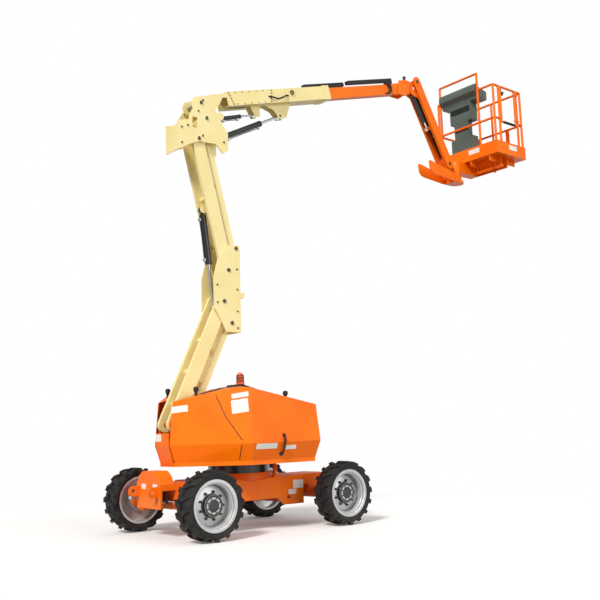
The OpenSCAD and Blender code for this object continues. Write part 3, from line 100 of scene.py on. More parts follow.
def build_grain():
    """Fine unevenness of a coating, casting or moulding, at a scale given per metre."""
    tree, ins, outs = new_group("surface_grain", [("Scale", 600.0), ("Roughness", 0.5)], ["Height", "Clouds"])
    spot = object_place(tree)
    fine = add(tree, "ShaderNodeTexNoise", {"Vector": spot, "Scale": ins.outputs["Scale"],
                                            "Roughness": ins.outputs["Roughness"], "Detail": 2.0})
    clouds = add(tree, "ShaderNodeTexNoise", {"Vector": spot, "Scale": 2.3, "Detail": 3.0})
    tree.links.new(fine.outputs["Fac"], outs.inputs["Height"])
    tree.links.new(clouds.outputs["Fac"], outs.inputs["Clouds"])
    return tree


def build_edge_wear():
    """A mask of the edges that hands, straps and stones have rubbed."""
    tree, ins, outs = new_group("edge_wear", [("Width", 0.006), ("Amount", 0.5)], ["Mask"])
    spot = object_place(tree)
    rounded = add(tree, "ShaderNodeBevel", {"Radius": ins.outputs["Width"]}, samples=4)
    flat = add(tree, "ShaderNodeNewGeometry")
    dot = add(tree, "ShaderNodeVectorMath", {0: rounded.outputs["Normal"], 1: flat.outputs["Normal"]},
              operation="DOT_PRODUCT")
    bend = math_node(tree, "SUBTRACT", 1.0, dot.outputs["Value"])
    patches = add(tree, "ShaderNodeTexNoise", {"Vector": spot, "Scale": 22.0, "Detail": 6.0})
    edge = ramp(tree, bend, 0.01, 0.12)
    torn = ramp(tree, patches.outputs["Fac"], 0.50, 0.66)
    mask = math_node(tree, "MULTIPLY", math_node(tree, "MULTIPLY", edge, torn), ins.outputs["Amount"], True)
    tree.links.new(mask, outs.inputs["Mask"])
    return tree


def build_dust():
    """A mask of dry dust: on what faces up, and more towards the ground."""
    tree, ins, outs = new_group("settled_dust", [("Amount", 0.3), ("Ground", 0.6)], ["Mask"])
    spot = object_place(tree)
    surface = add(tree, "ShaderNodeNewGeometry")
    up = add(tree, "ShaderNodeSeparateXYZ", {0: surface.outputs["Normal"]}).outputs["Z"]
    height = add(tree, "ShaderNodeSeparateXYZ", {0: spot}).outputs["Z"]
    low = math_node(tree, "SUBTRACT", 1.0, math_node(tree, "DIVIDE", height, ins.outputs["Ground"], True))
    top = math_node(tree, "MULTIPLY", ramp(tree, up, 0.2, 1.0), 0.45)
    drift = add(tree, "ShaderNodeTexNoise", {"Vector": spot, "Scale": 7.0, "Detail": 8.0, "Roughness": 0.65})
    patch = ramp(tree, drift.outputs["Fac"], 0.38, 0.72)
    mask = math_node(tree, "MULTIPLY", math_node(tree, "ADD", low, top), patch)
    mask = math_node(tree, "MULTIPLY", mask, ins.outputs["Amount"], True)
    tree.links.new(mask, outs.inputs["Mask"])
    return tree


grain_group = build_grain()
wear_group = build_edge_wear()
dust_group = build_dust()


def linear(code):
    """A hex colour as linear red, green, blue and alpha."""
    parts = [int(code[i:i + 2], 16) / 255 for i in (1, 3, 5)]
    return tuple(c / 12.92 if c <= 0.04045 else ((c + 0.055) / 1.055) ** 2.4 for c in parts) + (1.0,)


DUST = linear("#9B8F7E")


def use(tree, group, **values):
    """Adds a node group to a material and sets its named inputs."""
    node = add(tree, "ShaderNodeGroup", node_tree=group)
    for key, value in values.items():
        node.inputs[key.capitalize()].default_value = value
    return node


def coating(name, colour, shade, bare, rough, gloss=0.0, metal=0.0, grain=700.0, depth=0.12,
            wear=0.5, wear_width=0.006, dust=0.3, ground=0.7, shine=0.4):
    """A coated, cast or moulded surface: clouded colour, rubbed edges, dust, fine grain."""
    material = bpy.data.materials.new(name)
    material.use_nodes = True
    tree = material.node_tree
    shader = tree.nodes["Principled BSDF"]
    film = use(tree, grain_group, scale=grain)
    rubbed = use(tree, wear_group, width=wear_width, amount=wear).outputs["Mask"]
    dusty = use(tree, dust_group, amount=dust, ground=ground).outputs["Mask"]
    clouds = ramp(tree, film.outputs["Clouds"], 0.3, 0.72)
    tone = mix_colour(tree, clouds, linear(shade), linear(colour))
    tone = mix_colour(tree, rubbed, tone, linear(bare))
    tone = mix_colour(tree, dusty, tone, DUST)
    tree.links.new(tone, shader.inputs["Base Color"])
    matt = math_node(tree, "ADD", math_node(tree, "MULTIPLY", film.outputs["Height"], 0.12), rough - 0.06)
    matt = math_node(tree, "ADD", matt, math_node(tree, "MULTIPLY", dusty, 0.4), True)
    tree.links.new(matt, shader.inputs["Roughness"])
    shader.inputs["Metallic"].default_value = metal
    shader.inputs["Coat Weight"].default_value = gloss
    shader.inputs["Coat Roughness"].default_value = 0.12
    shader.inputs["Specular IOR Level"].default_value = shine
    bump = add(tree, "ShaderNodeBump", {"Height": film.outputs["Height"], "Strength": depth,
                                        "Distance": 0.001})
    tree.links.new(bump.outputs["Normal"], shader.inputs["Normal"])
    return material


finishes = {
    "orange_paint": coating("orange_enamel", "#FF7A00", "#FA6E00", "#C9772A", 0.38, wear=0.3, shine=0.25),
    "cream_paint": coating("cream_enamel", "#FAEAAA", "#F5E29C", "#B9AE92", 0.38, wear=0.3, shine=0.3),
    "black_paint": coating("black_enamel", "#1B1C1E", "#141517", "#5A5C5E", 0.34, gloss=0.4, wear=0.4),
    "rod_chrome": coating("hard_chrome", "#D5D8DA", "#C4C8CB", "#B0B3B5", 0.14, metal=1.0, depth=0.02,
                          wear=0.1, dust=0.1, grain=1500.0),
    "tyre_rubber": coating("tyre_rubber", "#151516", "#0F0F10", "#232221", 0.72, grain=420.0, depth=0.35,
                           wear=0.3, wear_width=0.012, dust=0.10, ground=0.9),
    "rim_silver": coating("silver_rim_paint", "#CDD0D1", "#B9BCBD", "#8F8A82", 0.32, gloss=0.2, metal=0.55,
                          wear=0.4, dust=0.45, ground=1.0),
    "black_plastic": coating("black_moulding", "#1D1E1F", "#151617", "#303132", 0.55, grain=900.0, depth=0.3,
                             wear=0.3),
    "lamp_amber": coating("amber_lens", "#EE6A1C", "#E0541A", "#F09A60", 0.12, gloss=0.6, wear=0.1, dust=0.1),
    "console_grey": coating("console_moulding", "#5C6961", "#515D56", "#7D867F", 0.5, grain=800.0, depth=0.3,
                            wear=0.3),
    "cast_weight": coating("painted_casting", "#E07412", "#CC650C", "#8F8A82", 0.5, grain=260.0, depth=0.6),
    "engine_iron": coating("bare_casting", "#767A7C", "#63676A", "#9A9C9D", 0.5, metal=0.5, grain=240.0,
                           depth=0.6),
}
blank_label = coating("blank_label_film", "#F3F1EC", "#E9E6DF", "#CFC9BF", 0.4, gloss=0.2, wear=0.2,
                      dust=0.15)
# Near-black strip colour for the hoods' parting lines: painted shade that stands in for the shadow inside the
# panel gaps
painted_seam_shade = coating("painted_seam_shade_strip", "#141210", "#0E0D0C", "#22201E", 0.8, depth=0.2, wear=0.0, dust=0.1)
zinc = coating("zinc_fastener", "#A9ACAE", "#94989A", "#C6C9CA", 0.34, metal=0.9, grain=1200.0,
               depth=0.1, wear=0.2)
red_button = coating("red_button", "#C4151B", "#B01015", "#D2494D", 0.3, gloss=0.3, wear=0.1, dust=0.1)
dark_bolt = coating("dark_fastener", "#56524A", "#45423C", "#8C877C", 0.42, metal=0.6, grain=1200.0,
                    depth=0.1, wear=0.2)
grip_tape = coating("grip_tape", "#1A1B1C", "#101112", "#2A2B2C", 0.85, grain=1400.0, depth=0.8,
                    wear=0.1, dust=0.2)

# CAD nodes: the right finish, and softened edges

# width of the softened edge in metres
EDGE = {
    "hood_near": 0.009, "hood_far": 0.009, "chassis_frame": 0.005, "turntable": 0.002, "platform_deck": 0.002,
    "counterweight": 0.01, "console": 0.012, "boom_base": 0.001, "upper_upright": 0.002,
    "mid_upright": 0.002, "nose_knuckle": 0.002, "jib_head": 0.003, "platform_support": 0.002,
}


def soften(obj, width, angle):
    """Rounds the edges that are sharper than an angle in degrees, without touching the mesh."""
    bevel = obj.modifiers.new("soft_edges", "BEVEL")
    bevel.width = width
    bevel.segments = 2
    bevel.limit_method = "ANGLE"
    bevel.angle_limit = math.radians(angle)
    bevel.harden_normals = True


slot_of = {s["node"]: s["material_slot"] for s in frame["record"]["subparts"]}
for name, obj in nodes.items():
    obj.data.materials.clear()
    obj.data.materials.append(finishes[slot_of[name]])
    if name in EDGE:
        weld = obj.modifiers.new("join_faces", "WELD")
        weld.merge_threshold = 0.00002
        soften(obj, EDGE[name], 28)


# Meshes

SHARP = math.radians(32.0)  # edges that bend more are shaded as hard
JOIN = 0.00001  # points nearer than this become one


def piece(name, bm, body, slot, finish=None, edge=0.0):
    """Turns a bmesh into a smooth-shaded piece that rides on a body."""
    bmesh.ops.recalc_face_normals(bm, faces=bm.faces)
    mesh = bpy.data.meshes.new(name)
    bm.to_mesh(mesh)
    bm.free()
    mesh.shade_smooth()
    mesh.set_sharp_from_angle(angle=SHARP)
    obj = bpy.data.objects.new(name, mesh)
    scene.collection.objects.link(obj)
    mesh.materials.append(finish or finishes[slot])
    if edge:
        soften(obj, edge, 30)
    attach(obj, body)
    return obj


def polar(radius, angle, along=0.0):
    """A point at a radius and an angle about the Z axis."""
    return Vector((radius * math.cos(angle), radius * math.sin(angle), along))


def around(count, start=0.0):
    """The angles of a ring of equally spaced places."""
    return [2 * math.pi * (i + start) / count for i in range(count)]


def skin(bm, rows):
    """Joins closed rows of corners, one to the next."""
    for a, b in zip(rows, rows[1:]):
        for i in range(len(a)):
            j = (i + 1) % len(a)
            bm.faces.new((a[i], a[j], b[j], b[i]))


def closed_skin(bm, rows):
    """A skin with a face over its first row and one over its last."""
    skin(bm, rows)
    bm.faces.new(rows[0])
    bm.faces.new(rows[-1])


def lathe(bm, profile, where, steps=64):
    """Turns a profile of (radius, along) about the Z axis of a frame; a zero radius closes it."""
    rings = []
    for radius, along in profile:
        if radius < 1e-6:
            rings.append([bm.verts.new(where @ Vector((0, 0, along)))])
        else:
            rings.append([bm.verts.new(where @ polar(radius, angle, along)) for angle in around(steps)])
    for a, b in zip(rings, rings[1:]):
        for i in range(steps):
            j = (i + 1) % steps
            if len(a) == 1 and len(b) > 1:
                bm.faces.new((a[0], b[i], b[j]))
            elif len(b) == 1 and len(a) > 1:
                bm.faces.new((a[i], a[j], b[0]))
            elif len(a) > 1 and len(b) > 1:
                bm.faces.new((a[i], a[j], b[j], b[i]))


def rod(bm, a, b, radius, steps=20):
    """A round bar between two points."""
    a, b = Vector(a), Vector(b)
    turn = (b - a).to_track_quat("Z", "Y").to_matrix().to_4x4()
    where = Matrix.Translation((a + b) / 2) @ turn
    bmesh.ops.create_cone(bm, cap_ends=True, segments=steps, radius1=radius, radius2=radius,
                          depth=(b - a).length, matrix=where)


def block(bm, low, high, turn=None):
    """A box between two corners, turned about its own centre if a rotation is given."""
    low, high = Vector(low), Vector(high)
    size = high - low
    where = Matrix.Translation((low + high) / 2)
    if turn is not None:
        where = where @ turn.to_4x4()
    bmesh.ops.create_cube(bm, size=1.0, matrix=where @ Matrix.Diagonal((*size, 1.0)))


def nut(bm, at, axis, across, height):
    """A hexagon nut or bolt head that stands on a face."""
    at, axis = Vector(at), Vector(axis).normalized()
    turn = axis.to_track_quat("Z", "Y").to_matrix().to_4x4()
    where = Matrix.Translation(at + axis * height / 2) @ turn
    corner = across / math.sqrt(3)
    bmesh.ops.create_cone(bm, cap_ends=True, segments=6, radius1=corner, radius2=corner, depth=height,
                          matrix=where)


# Wheels

WHEELS = {"steer_left": 1, "steer_right": -1, "drive_left": 1, "drive_right": -1}
low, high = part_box("tyre_drive_left")
TYRE_R = (high.z - low.z) / 2
TYRE_W = high.y - low.y
BEAD_R = 0.2716
LUG_H = 0.026
TREAD_R = TYRE_R - LUG_H
LUGS = 16
LUG_LEAD = 4.9  # degrees
FOOT_FLARE = 0.6  # degrees that a lug's foot is wider than its top, each side
FOOT_SHARE = 0.90  # share of the half width that a lug's foot may reach


def wheel_frame(name, side):
    """The frame of a wheel: Z along its axle, outwards."""
    at = Vector(joints["wheel_" + name + "_spin"]["pos_m"])
    turn = Matrix.Rotation(math.radians(-90 * side), 4, "X")
    return Matrix.Translation(at) @ turn


def tyre_lug(bm, where, start, hand):
    """One slanted bar of the tread, from the middle over the shoulder and down the sidewall."""
    half = TYRE_W / 2
    # share of the half width, radius of the top, radius of the foot, half thickness and lag in degrees
    stations = [
        (-0.03, TYRE_R - 0.002, TREAD_R - 0.008, 3.3, 0.0),
        (0.20, TYRE_R - 0.001, TREAD_R - 0.008, 3.5, -2.1),
        (0.50, TYRE_R - 0.001, TREAD_R - 0.008, 3.7, -5.1),
        (0.80, TYRE_R - 0.003, TREAD_R - 0.012, 3.8, -7.9),
        (0.95, TYRE_R - 0.013, TREAD_R - 0.030, 3.8, -9.3),
        (0.985, TYRE_R - 0.045, TREAD_R - 0.044, 3.8, -9.7),
    ]
    rows = []
    for share, top, foot, thick, lag in stations:
        outer = hand * share * half
        inner = hand * min(share, FOOT_SHARE) * half
        section = ((foot, thick + FOOT_FLARE, inner), (top, thick, outer), (top, -thick, outer),
                   (foot, -thick - FOOT_FLARE, inner))
        rows.append([bm.verts.new(where @ polar(radius, math.radians(start + lag + across), along))
                     for radius, across, along in section])
    closed_skin(bm, rows)


def make_tyre(name, side):
    """Tyre with its bead, a raised ring on each sidewall and two staggered rings of lugs."""
    where = wheel_frame(name, side)
    bm = bmesh.new()
    # height over the bead, share of the width
    wall = [(0.0, -0.40), (0.016, -0.43), (0.020, -0.455), (0.026, -0.455), (0.029, -0.468), (0.048, -0.478),
            (0.050, -0.488), (0.056, -0.488), (0.058, -0.474)]
    # height under the tread, share of the width
    shoulder = [(0.018, -0.462), (0.006, -0.42), (0.0, -0.32)]
    half_profile = [(BEAD_R + rise, share * TYRE_W) for rise, share in wall]
    half_profile += [(TREAD_R - drop, share * TYRE_W) for drop, share in shoulder]
    other_half = [(r, -w) for r, w in reversed(half_profile)]
    lathe(bm, half_profile + other_half + half_profile[:1], where, 96)
    step = 360 / LUGS
    for i in range(LUGS):
        tyre_lug(bm, where, (i + 0.25) * step + LUG_LEAD, 1)
        tyre_lug(bm, where, (i - 0.25) * step + LUG_LEAD, -1)
    bmesh.ops.remove_doubles(bm, verts=bm.verts, dist=JOIN)
    tyre = piece("lugged_tyre_" + name, bm, "wheel_" + name, "tyre_rubber", edge=0.0035)
    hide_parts("tyre_" + name)


def make_hub(name, side):
    """Black hub cap with its flange and a ring of bolts, the rim's steps and the wheel nuts."""
    where = wheel_frame(name, side)
    body = "wheel_" + name
    out = where.to_3x3() @ Vector((0, 0, 1))
    bm = bmesh.new()
    lathe(bm, [
        (0.132, 0.0145), (0.132, 0.0300), (0.126, 0.0325), (0.1205, 0.0335), (0.1205, 0.066), (0.115, 0.0735),
        (0.094, 0.0745), (0.090, 0.0715), (0.070, 0.0715), (0.066, 0.0785), (0.050, 0.0800), (0.046, 0.0760),
        (0.0, 0.0760),
    ], where)
    for angle in around(8, 0.5):
        nut(bm, where @ polar(0.080, angle, 0.0715), out, 0.016, 0.006)
    piece("hub_cap_" + name, bm, body, "black_paint", edge=0.001)
    bm = bmesh.new()
    steps = [(0.2588, 0.1168), (0.2450, 0.1125), (0.2420, 0.0860), (0.2310, 0.0810), (0.2280, 0.0300),
             (0.2588, 0.0280)]
    lathe(bm, steps + steps[:1], where)
    bmesh.ops.remove_doubles(bm, verts=bm.verts, dist=JOIN)
    piece("rim_steps_" + name, bm, body, "rim_silver", edge=0.002)
    bm = bmesh.new()
    for angle in around(9):
        at = where @ polar(0.150, angle, 0.0150)
        nut(bm, at, out, 0.027, 0.026)
        rod(bm, at, at + out * 0.036, 0.008, 12)
    piece("wheel_nuts_" + name, bm, body, "black_paint", edge=0.001)


for wheel, side in WHEELS.items():
    make_tyre(wheel, side)
    make_hub(wheel, side)

# Helpers that place a piece on a solid

trees = {}


def hit(node, start, towards):
    """Where a ray first meets a solid, and the way that face looks."""
    if node not in trees:
        obj = nodes[node]
        points = [obj.matrix_world @ v.co for v in obj.data.vertices]
        trees[node] = BVHTree.FromPolygons(points, [p.vertices for p in obj.data.polygons])
    towards = Vector(towards).normalized()
    spot, normal, _, _ = trees[node].ray_cast(Vector(start), towards)
    if spot is None:
        raise ValueError("no face of " + node + " at " + str(tuple(start)))
    return spot, (normal if normal.dot(towards) < 0 else -normal)


def at_joint(name, y=None):
    """The place of a joint, moved to another distance from the middle plane if one is given."""
    spot = Vector(joints[name]["pos_m"])
    return spot if y is None else Vector((spot.x, y, spot.z))


BOOM_PIN = at_joint("boom_lift")
BOOM_WAY = Vector(joints["telescope"]["axis"])
BOOM_UP = Vector((-BOOM_WAY.z, 0, BOOM_WAY.x))


def on_boom(along, y, up):
    """A place in the boom's own frame: along it from its pivot, across, and over it."""
    return BOOM_PIN + BOOM_WAY * along + BOOM_UP * up + Vector((0, y, 0))


def plate(bm, node, start, towards, width, height, level=(1, 0, 0), thick=0.0015, corner=0.006):
    """A thin plate with round corners that lies on a solid's face, its width along a level line."""
    spot, normal = hit(node, start, towards)
    side = (Vector(level) - normal * normal.dot(Vector(level))).normalized()
    rise = normal.cross(side)
    ring = []
    for sx, sy, turn in ((1, 1, 0), (-1, 1, 90), (-1, -1, 180), (1, -1, 270)):
        for k in range(4):
            angle = math.radians(turn + 30 * k)
            ring.append(side * (sx * (width / 2 - corner) + corner * math.cos(angle))
                        + rise * (sy * (height / 2 - corner) + corner * math.sin(angle)))
    low = [bm.verts.new(spot + p - normal * thick * 0.3) for p in ring]
    high = [bm.verts.new(spot + p + normal * thick) for p in ring]
    closed_skin(bm, [low, high])


def strip(bm, node, points, towards, width, thick=0.0012, steps=14):
    """A narrow band that follows a solid's faces under a line of points."""
    points = [Vector(p) for p in points]
    rows = []
    for a, b in zip(points, points[1:]):
        for k in range(steps + 1):
            spot, normal = hit(node, a.lerp(b, k / steps), towards)
            way = (b - a).normalized()
            side = normal.cross(way).normalized()
            rows.append([bm.verts.new(spot + side * width * sx + normal * thick * sz)
                         for sx, sz in ((-0.5, -0.5), (-0.5, 1), (0.5, 1), (0.5, -0.5))])
    closed_skin(bm, rows)


def hose(bm, points, radius, steps=10, turns=9):
    """A round hose on a smooth line through the points."""
    points = [Vector(p) for p in points]
    ends = [points[0] * 2 - points[1]] + points + [points[-1] * 2 - points[-2]]
    line = []
    for a, b, c, d in zip(ends, ends[1:], ends[2:], ends[3:]):
        for k in range(turns):
            t = k / turns
            line.append(0.5 * (2 * b + (c - a) * t + (2 * a - 5 * b + 4 * c - d) * t * t
                               + (3 * b - a - 3 * c + d) * t ** 3))
    line.append(points[-1])
    rings = []
    side = Vector((0.31, 0.87, 0.39))
    for i, spot in enumerate(line):
        way = (line[min(i + 1, len(line) - 1)] - line[max(i - 1, 0)]).normalized()
        side = (side - way * way.dot(side)).normalized()
        other = way.cross(side)
        rings.append([bm.verts.new(spot + (side * math.cos(angle) + other * math.sin(angle)) * radius)
                      for angle in around(steps)])
    closed_skin(bm, rings)


def facing(at, way):
    """A frame at a point with its Z axis along a direction."""
    return Matrix.Translation(Vector(at)) @ Vector(way).to_track_quat("Z", "Y").to_matrix().to_4x4()


def pin_cap(bm, at, side, radius, height=0.004):
    """A pin's round end cap with its keeper bolt."""
    out = Vector((0, side, 0))
    lathe(bm, [(0, -0.001), (radius, -0.001), (radius, height * 0.6), (radius * 0.92, height), (0, height)],
          facing(at, out), 28)
    nut(bm, Vector(at) + out * height, out, radius * 0.5, 0.003)


def clamp_bar(bm, centre, half_width, way):
    """A bar across a row of hoses, square to the way they run."""
    half = Vector((0.012, half_width, 0.014))
    block(bm, centre - half, centre + half, Matrix.Rotation(-math.atan2(way.z, way.x), 3, "Y"))


# Pins and bolts of the tower, the boom and the jib

CHEEK_FACE = 0.145  # from the middle plane to the outer faces of the uprights and of the turntable's cheeks
NOSE_FACE = 0.106  # the same for the nose knuckle and the jib head
foot, foot_link = at_joint("tower_lift"), at_joint("lower_link_swing")
knee, hip = at_joint("mid_upright_level"), at_joint("upper_riser_swing")
hip_link = at_joint("upper_link_swing")
crown = at_joint("upper_upright_level")
knee_link = knee + foot_link - foot
crown_link = crown + hip_link - hip
PIN_ENDS = {
    "mid_upright": [knee, hip, knee_link, hip_link],
    "upper_upright": [crown, crown_link, BOOM_PIN],
}
for body, spots in PIN_ENDS.items():
    bm = bmesh.new()
    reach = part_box(body)[1].y
    for spot in spots:
        for side in (-1, 1):
            pin_cap(bm, (spot.x, side * reach, spot.z), side, 0.025)
    piece("pin_caps_" + body, bm, body, slot_of[body], dark_bolt, edge=0.0008)
bm = bmesh.new()
for spot in (foot, foot_link):
    for side in (-1, 1):
        pin_cap(bm, (spot.x, side * CHEEK_FACE, spot.z), side, 0.027)
piece("pin_caps_tower_foot", bm, "turntable", slot_of["turntable"], dark_bolt, edge=0.0008)
for body, joint in (("nose_knuckle", "jib_lift"), ("jib_head", "jib_head_level")):
    bm = bmesh.new()
    for side in (-1, 1):
        pin_cap(bm, at_joint(joint, side * NOSE_FACE), side, 0.028, 0.003)
    piece("pin_caps_" + body, bm, body, slot_of[body], dark_bolt, edge=0.0006)

# name of the piece, body, point that the places (x, z) start from, size across the flats, height
BOLT_SETS = [
    ("upright_bolts", "upper_upright", crown, 0.024, 0.009,
     ((0.07, 0.52), (0.06, 0.045), (0.0, 0.36), (-0.16, 0.14), (-0.25, 0.10), (-0.25, -0.10), (0.38, 0.02))),
    ("middle_upright_bolts", "mid_upright", knee, 0.022, 0.008,
     ((0.20, -0.33), (0.20, -0.12), (0.20, 0.16), (0.20, 0.42), (-0.10, -0.02), (-0.10, 0.20))),
]
for name, body, origin, across, height, spots in BOLT_SETS:
    bm = bmesh.new()
    for dx, dz in spots:
        for side in (-1, 1):
            nut(bm, (origin.x + dx, side * CHEEK_FACE, origin.z + dz), (0, side, 0), across, height)
    piece(name, bm, body, "cream_paint", dark_bolt, edge=0.0008)

# Hydraulic cylinders: port blocks and a hard line along the barrel

# length and radius of the barrel, and the side of it that the ports are on
CYLINDERS = {
    "lift": (0.745, 0.040, 1), "level": (0.430, 0.027, 1), "tower": (0.700, 0.044, 1),
    "jib": (0.470, 0.034, -1),
}
for name, (length, radius, hand) in CYLINDERS.items():
    start = at_joint(name + "_barrel_swing")
    way = Vector(joints[name + "_rod_slide"]["axis"])
    below = Vector((way.z, 0, -way.x)) * hand
    bm = bmesh.new()
    turn = Matrix((way, Vector((0, 1, 0)), below)).transposed()
    for along in (0.125, length - 0.060):
        spot = start + way * along + below * (radius + 0.006)
        half = Vector((0.020, 0.015, 0.012))
        block(bm, spot - half, spot + half, turn)
        nut(bm, spot + below * 0.012, below, 0.020, 0.012)
    piece(name + "_ports", bm, name + "_barrel", "rod_chrome", zinc, edge=0.0015)
    bm = bmesh.new()
    line = ((0.130, 0.010), (0.165, 0.011), (length * 0.5, 0.007), (length - 0.100, 0.011),
            (length - 0.065, 0.010))
    hose(bm, [start + way * along + below * (radius + off) for along, off in line], 0.0055)
    piece(name + "_hard_line", bm, name + "_barrel", "black_paint")

# Hoods: parting lines as dark strips of painted shade, latch handles, blank plates, lamp cage

TAIL_LOOK = Vector((0.75, 0.65, -0.05))
SIDE_LOOK = Vector((0, 1, 0))


def mirrored(point, side):
    """A point or direction of the near side, or its mirror image on the far side."""
    return Vector((point[0], -point[1] * side, point[2]))


SEAMS = (((-0.700, -0.560, 1.600), (-0.635, -0.669, 1.345), (-0.530, -0.835, 1.075)),
         ((-0.530, -0.828, 1.030), (-0.524, -0.775, 0.905), (-0.523, -0.760, 0.862)))
HANDLE = ((0.006, -0.916, 1.125), (0.004, -0.942, 1.105), (0.0, -0.951, 1.040), (-0.009, -0.936, 0.960),
          (-0.014, -0.912, 0.915), (-0.016, -0.880, 0.900))
HANDLE_FEET = ((0.006, -0.922, 1.118), (-0.015, -0.893, 0.905))
for hood, side in (("hood_near", -1), ("hood_far", 1)):
    look = mirrored(TAIL_LOOK, side)
    bm = bmesh.new()
    # Dark bands laid over the hood's faces along its seams: painted shade of the gaps between its panels
    for run in SEAMS:
        strip(bm, hood, [mirrored(p, side) - look * 0.2 for p in run], look, 0.009)
    piece("parting_line_" + hood, bm, hood, "black_plastic", painted_seam_shade)
    bm = bmesh.new()
    hose(bm, [mirrored(p, side) for p in HANDLE], 0.012, 12)
    for at in HANDLE_FEET:
        lathe(bm, [(0, -0.012), (0.024, -0.012), (0.024, 0.004), (0.018, 0.009), (0, 0.009)],
              facing(mirrored(at, side), mirrored((0, -1, 0), side)), 24)
    piece("latch_handle_" + hood, bm, hood, "black_plastic")

bm = bmesh.new()
for at, look, width, height in (
        ((-0.508, -0.777, 1.590), TAIL_LOOK, 0.20, 0.055), ((-0.519, -0.786, 1.465), TAIL_LOOK, 0.20, 0.155),
        ((-0.985, -0.235, 1.455), TAIL_LOOK, 0.20, 0.075), ((-0.244, -0.916, 1.000), SIDE_LOOK, 0.30, 0.065),
        ((0.116, -0.907, 0.975), SIDE_LOOK, 0.15, 0.050)):
    plate(bm, "hood_near", Vector(at) - look * 0.3, look, width, height)
piece("blank_plates_hood", bm, "hood_near", "orange_paint", blank_label)
bm = bmesh.new()
plate(bm, "turntable", (-1.5, 0.085, 1.130), (1, 0, 0), 0.13, 0.085, level=(0, 1, 0))
piece("blank_plate_tail", bm, "turntable", "orange_paint", blank_label)

low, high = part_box("beacon")
middle = (low + high) / 2
bm = bmesh.new()
for angle in around(10):
    out = Vector((math.cos(angle), math.sin(angle), 0)) * 0.0430
    rod(bm, middle + out + Vector((0, 0, -0.050)), middle + out + Vector((0, 0, 0.034)), 0.0030, 8)
for rise in (-0.030, 0.002, 0.034):
    where = Matrix.Translation(middle + Vector((0, 0, rise)))
    band = [(0.0405, -0.004), (0.0460, -0.004), (0.0460, 0.004), (0.0405, 0.004)]
    lathe(bm, band + band[:1], where, 28)
piece("lamp_cage", bm, "hood_near", "black_plastic")

# Hood tops: rubber posts and the dark cover strip

DOWN = (0, 0, -1)
OVERHEAD = 5.0  # over the hoods, where the rays that look down on them start
POST = [(0, -0.010), (0.018, -0.010), (0.018, 0.045), (0.030, 0.055), (0.033, 0.080), (0.026, 0.100),
        (0, 0.108)]
for name, x, y in (("tail_near", -0.800, -0.300), ("front_near", 0.220, -0.700)):
    bm = bmesh.new()
    spot, _ = hit("hood_near", (x, y, OVERHEAD), DOWN)
    lathe(bm, POST, Matrix.Translation(spot), 24)
    piece("rubber_post_" + name, bm, "hood_near", "black_plastic")
low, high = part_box("hood_post_far")
bm = bmesh.new()
lathe(bm, POST, Matrix.Translation(((low.x + high.x) / 2, (low.y + high.y) / 2, low.z + 0.012)), 24)
piece("rubber_post_tail_far", bm, "hood_far", "black_plastic")
bm = bmesh.new()
strip(bm, "hood_near", [(-0.740, -0.320, OVERHEAD), (-0.600, -0.370, OVERHEAD), (-0.470, -0.420, OVERHEAD)],
      DOWN, 0.110, 0.007)
piece("dark_cover_strip", bm, "hood_near", "black_plastic", edge=0.002)

# Chassis: blank plates, slew lock post, steering hoses, bolts of the drive motors

bm = bmesh.new()
for x, z, width, height in ((0.596, 0.508, 0.16, 0.10), (0.500, 0.420, 0.12, 0.06)):
    plate(bm, "chassis_frame", (x, -1.2, z), (0, 1, 0), width, height)
for y in (0.107, -0.149):
    plate(bm, "chassis_frame", (-1.8, y, 0.585), (1, 0, 0), 0.10, 0.06, level=(0, 1, 0))
piece("blank_plates_chassis", bm, "chassis", "orange_paint", blank_label)
bm = bmesh.new()
block(bm, (0.225, -0.428, 0.600), (0.295, -0.370, 0.640))
lathe(bm, [(0, 0.0), (0.027, 0.0), (0.027, 0.120), (0.022, 0.132), (0.022, 0.142), (0, 0.142)],
      Matrix.Translation((0.260, -0.399, 0.636)), 24)
rod(bm, (0.260, -0.399, 0.720), (0.260, -0.445, 0.720), 0.006, 12)
piece("slew_lock_post", bm, "chassis", "orange_paint", edge=0.002)
low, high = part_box("steer_cylinder")
bm = bmesh.new()
for side in (-1, 1):
    start = Vector((low.x + 0.036, side * 0.150, (low.z + high.z) / 2 + 0.034))
    rise = [start + Vector((0.0, 0.0, 0.050)), start + Vector((-0.010, -side * 0.050, 0.075))]
    end = [(low.x - 0.020, side * 0.050, 0.535), (low.x + 0.030, side * 0.030, 0.552)]
    hose(bm, [start] + rise + end, 0.010)
    nut(bm, start + Vector((0, 0, -0.004)), (0, 0, 1), 0.026, 0.016)
piece("steering_hoses", bm, "chassis", "black_plastic")
bm = bmesh.new()
for side in (-1, 1):
    axle = at_joint("wheel_drive_left_spin", side * 0.6405)
    for angle in around(8, 0.5):
        spot = (axle.x + 0.105 * math.cos(angle), axle.y, axle.z + 0.105 * math.sin(angle))
        nut(bm, spot, (0, -side, 0), 0.022, 0.010)
piece("motor_bolts", bm, "chassis", "orange_paint", dark_bolt, edge=0.0008)

# Boom: cover bolts, hoses, a coil on the near side, clamps

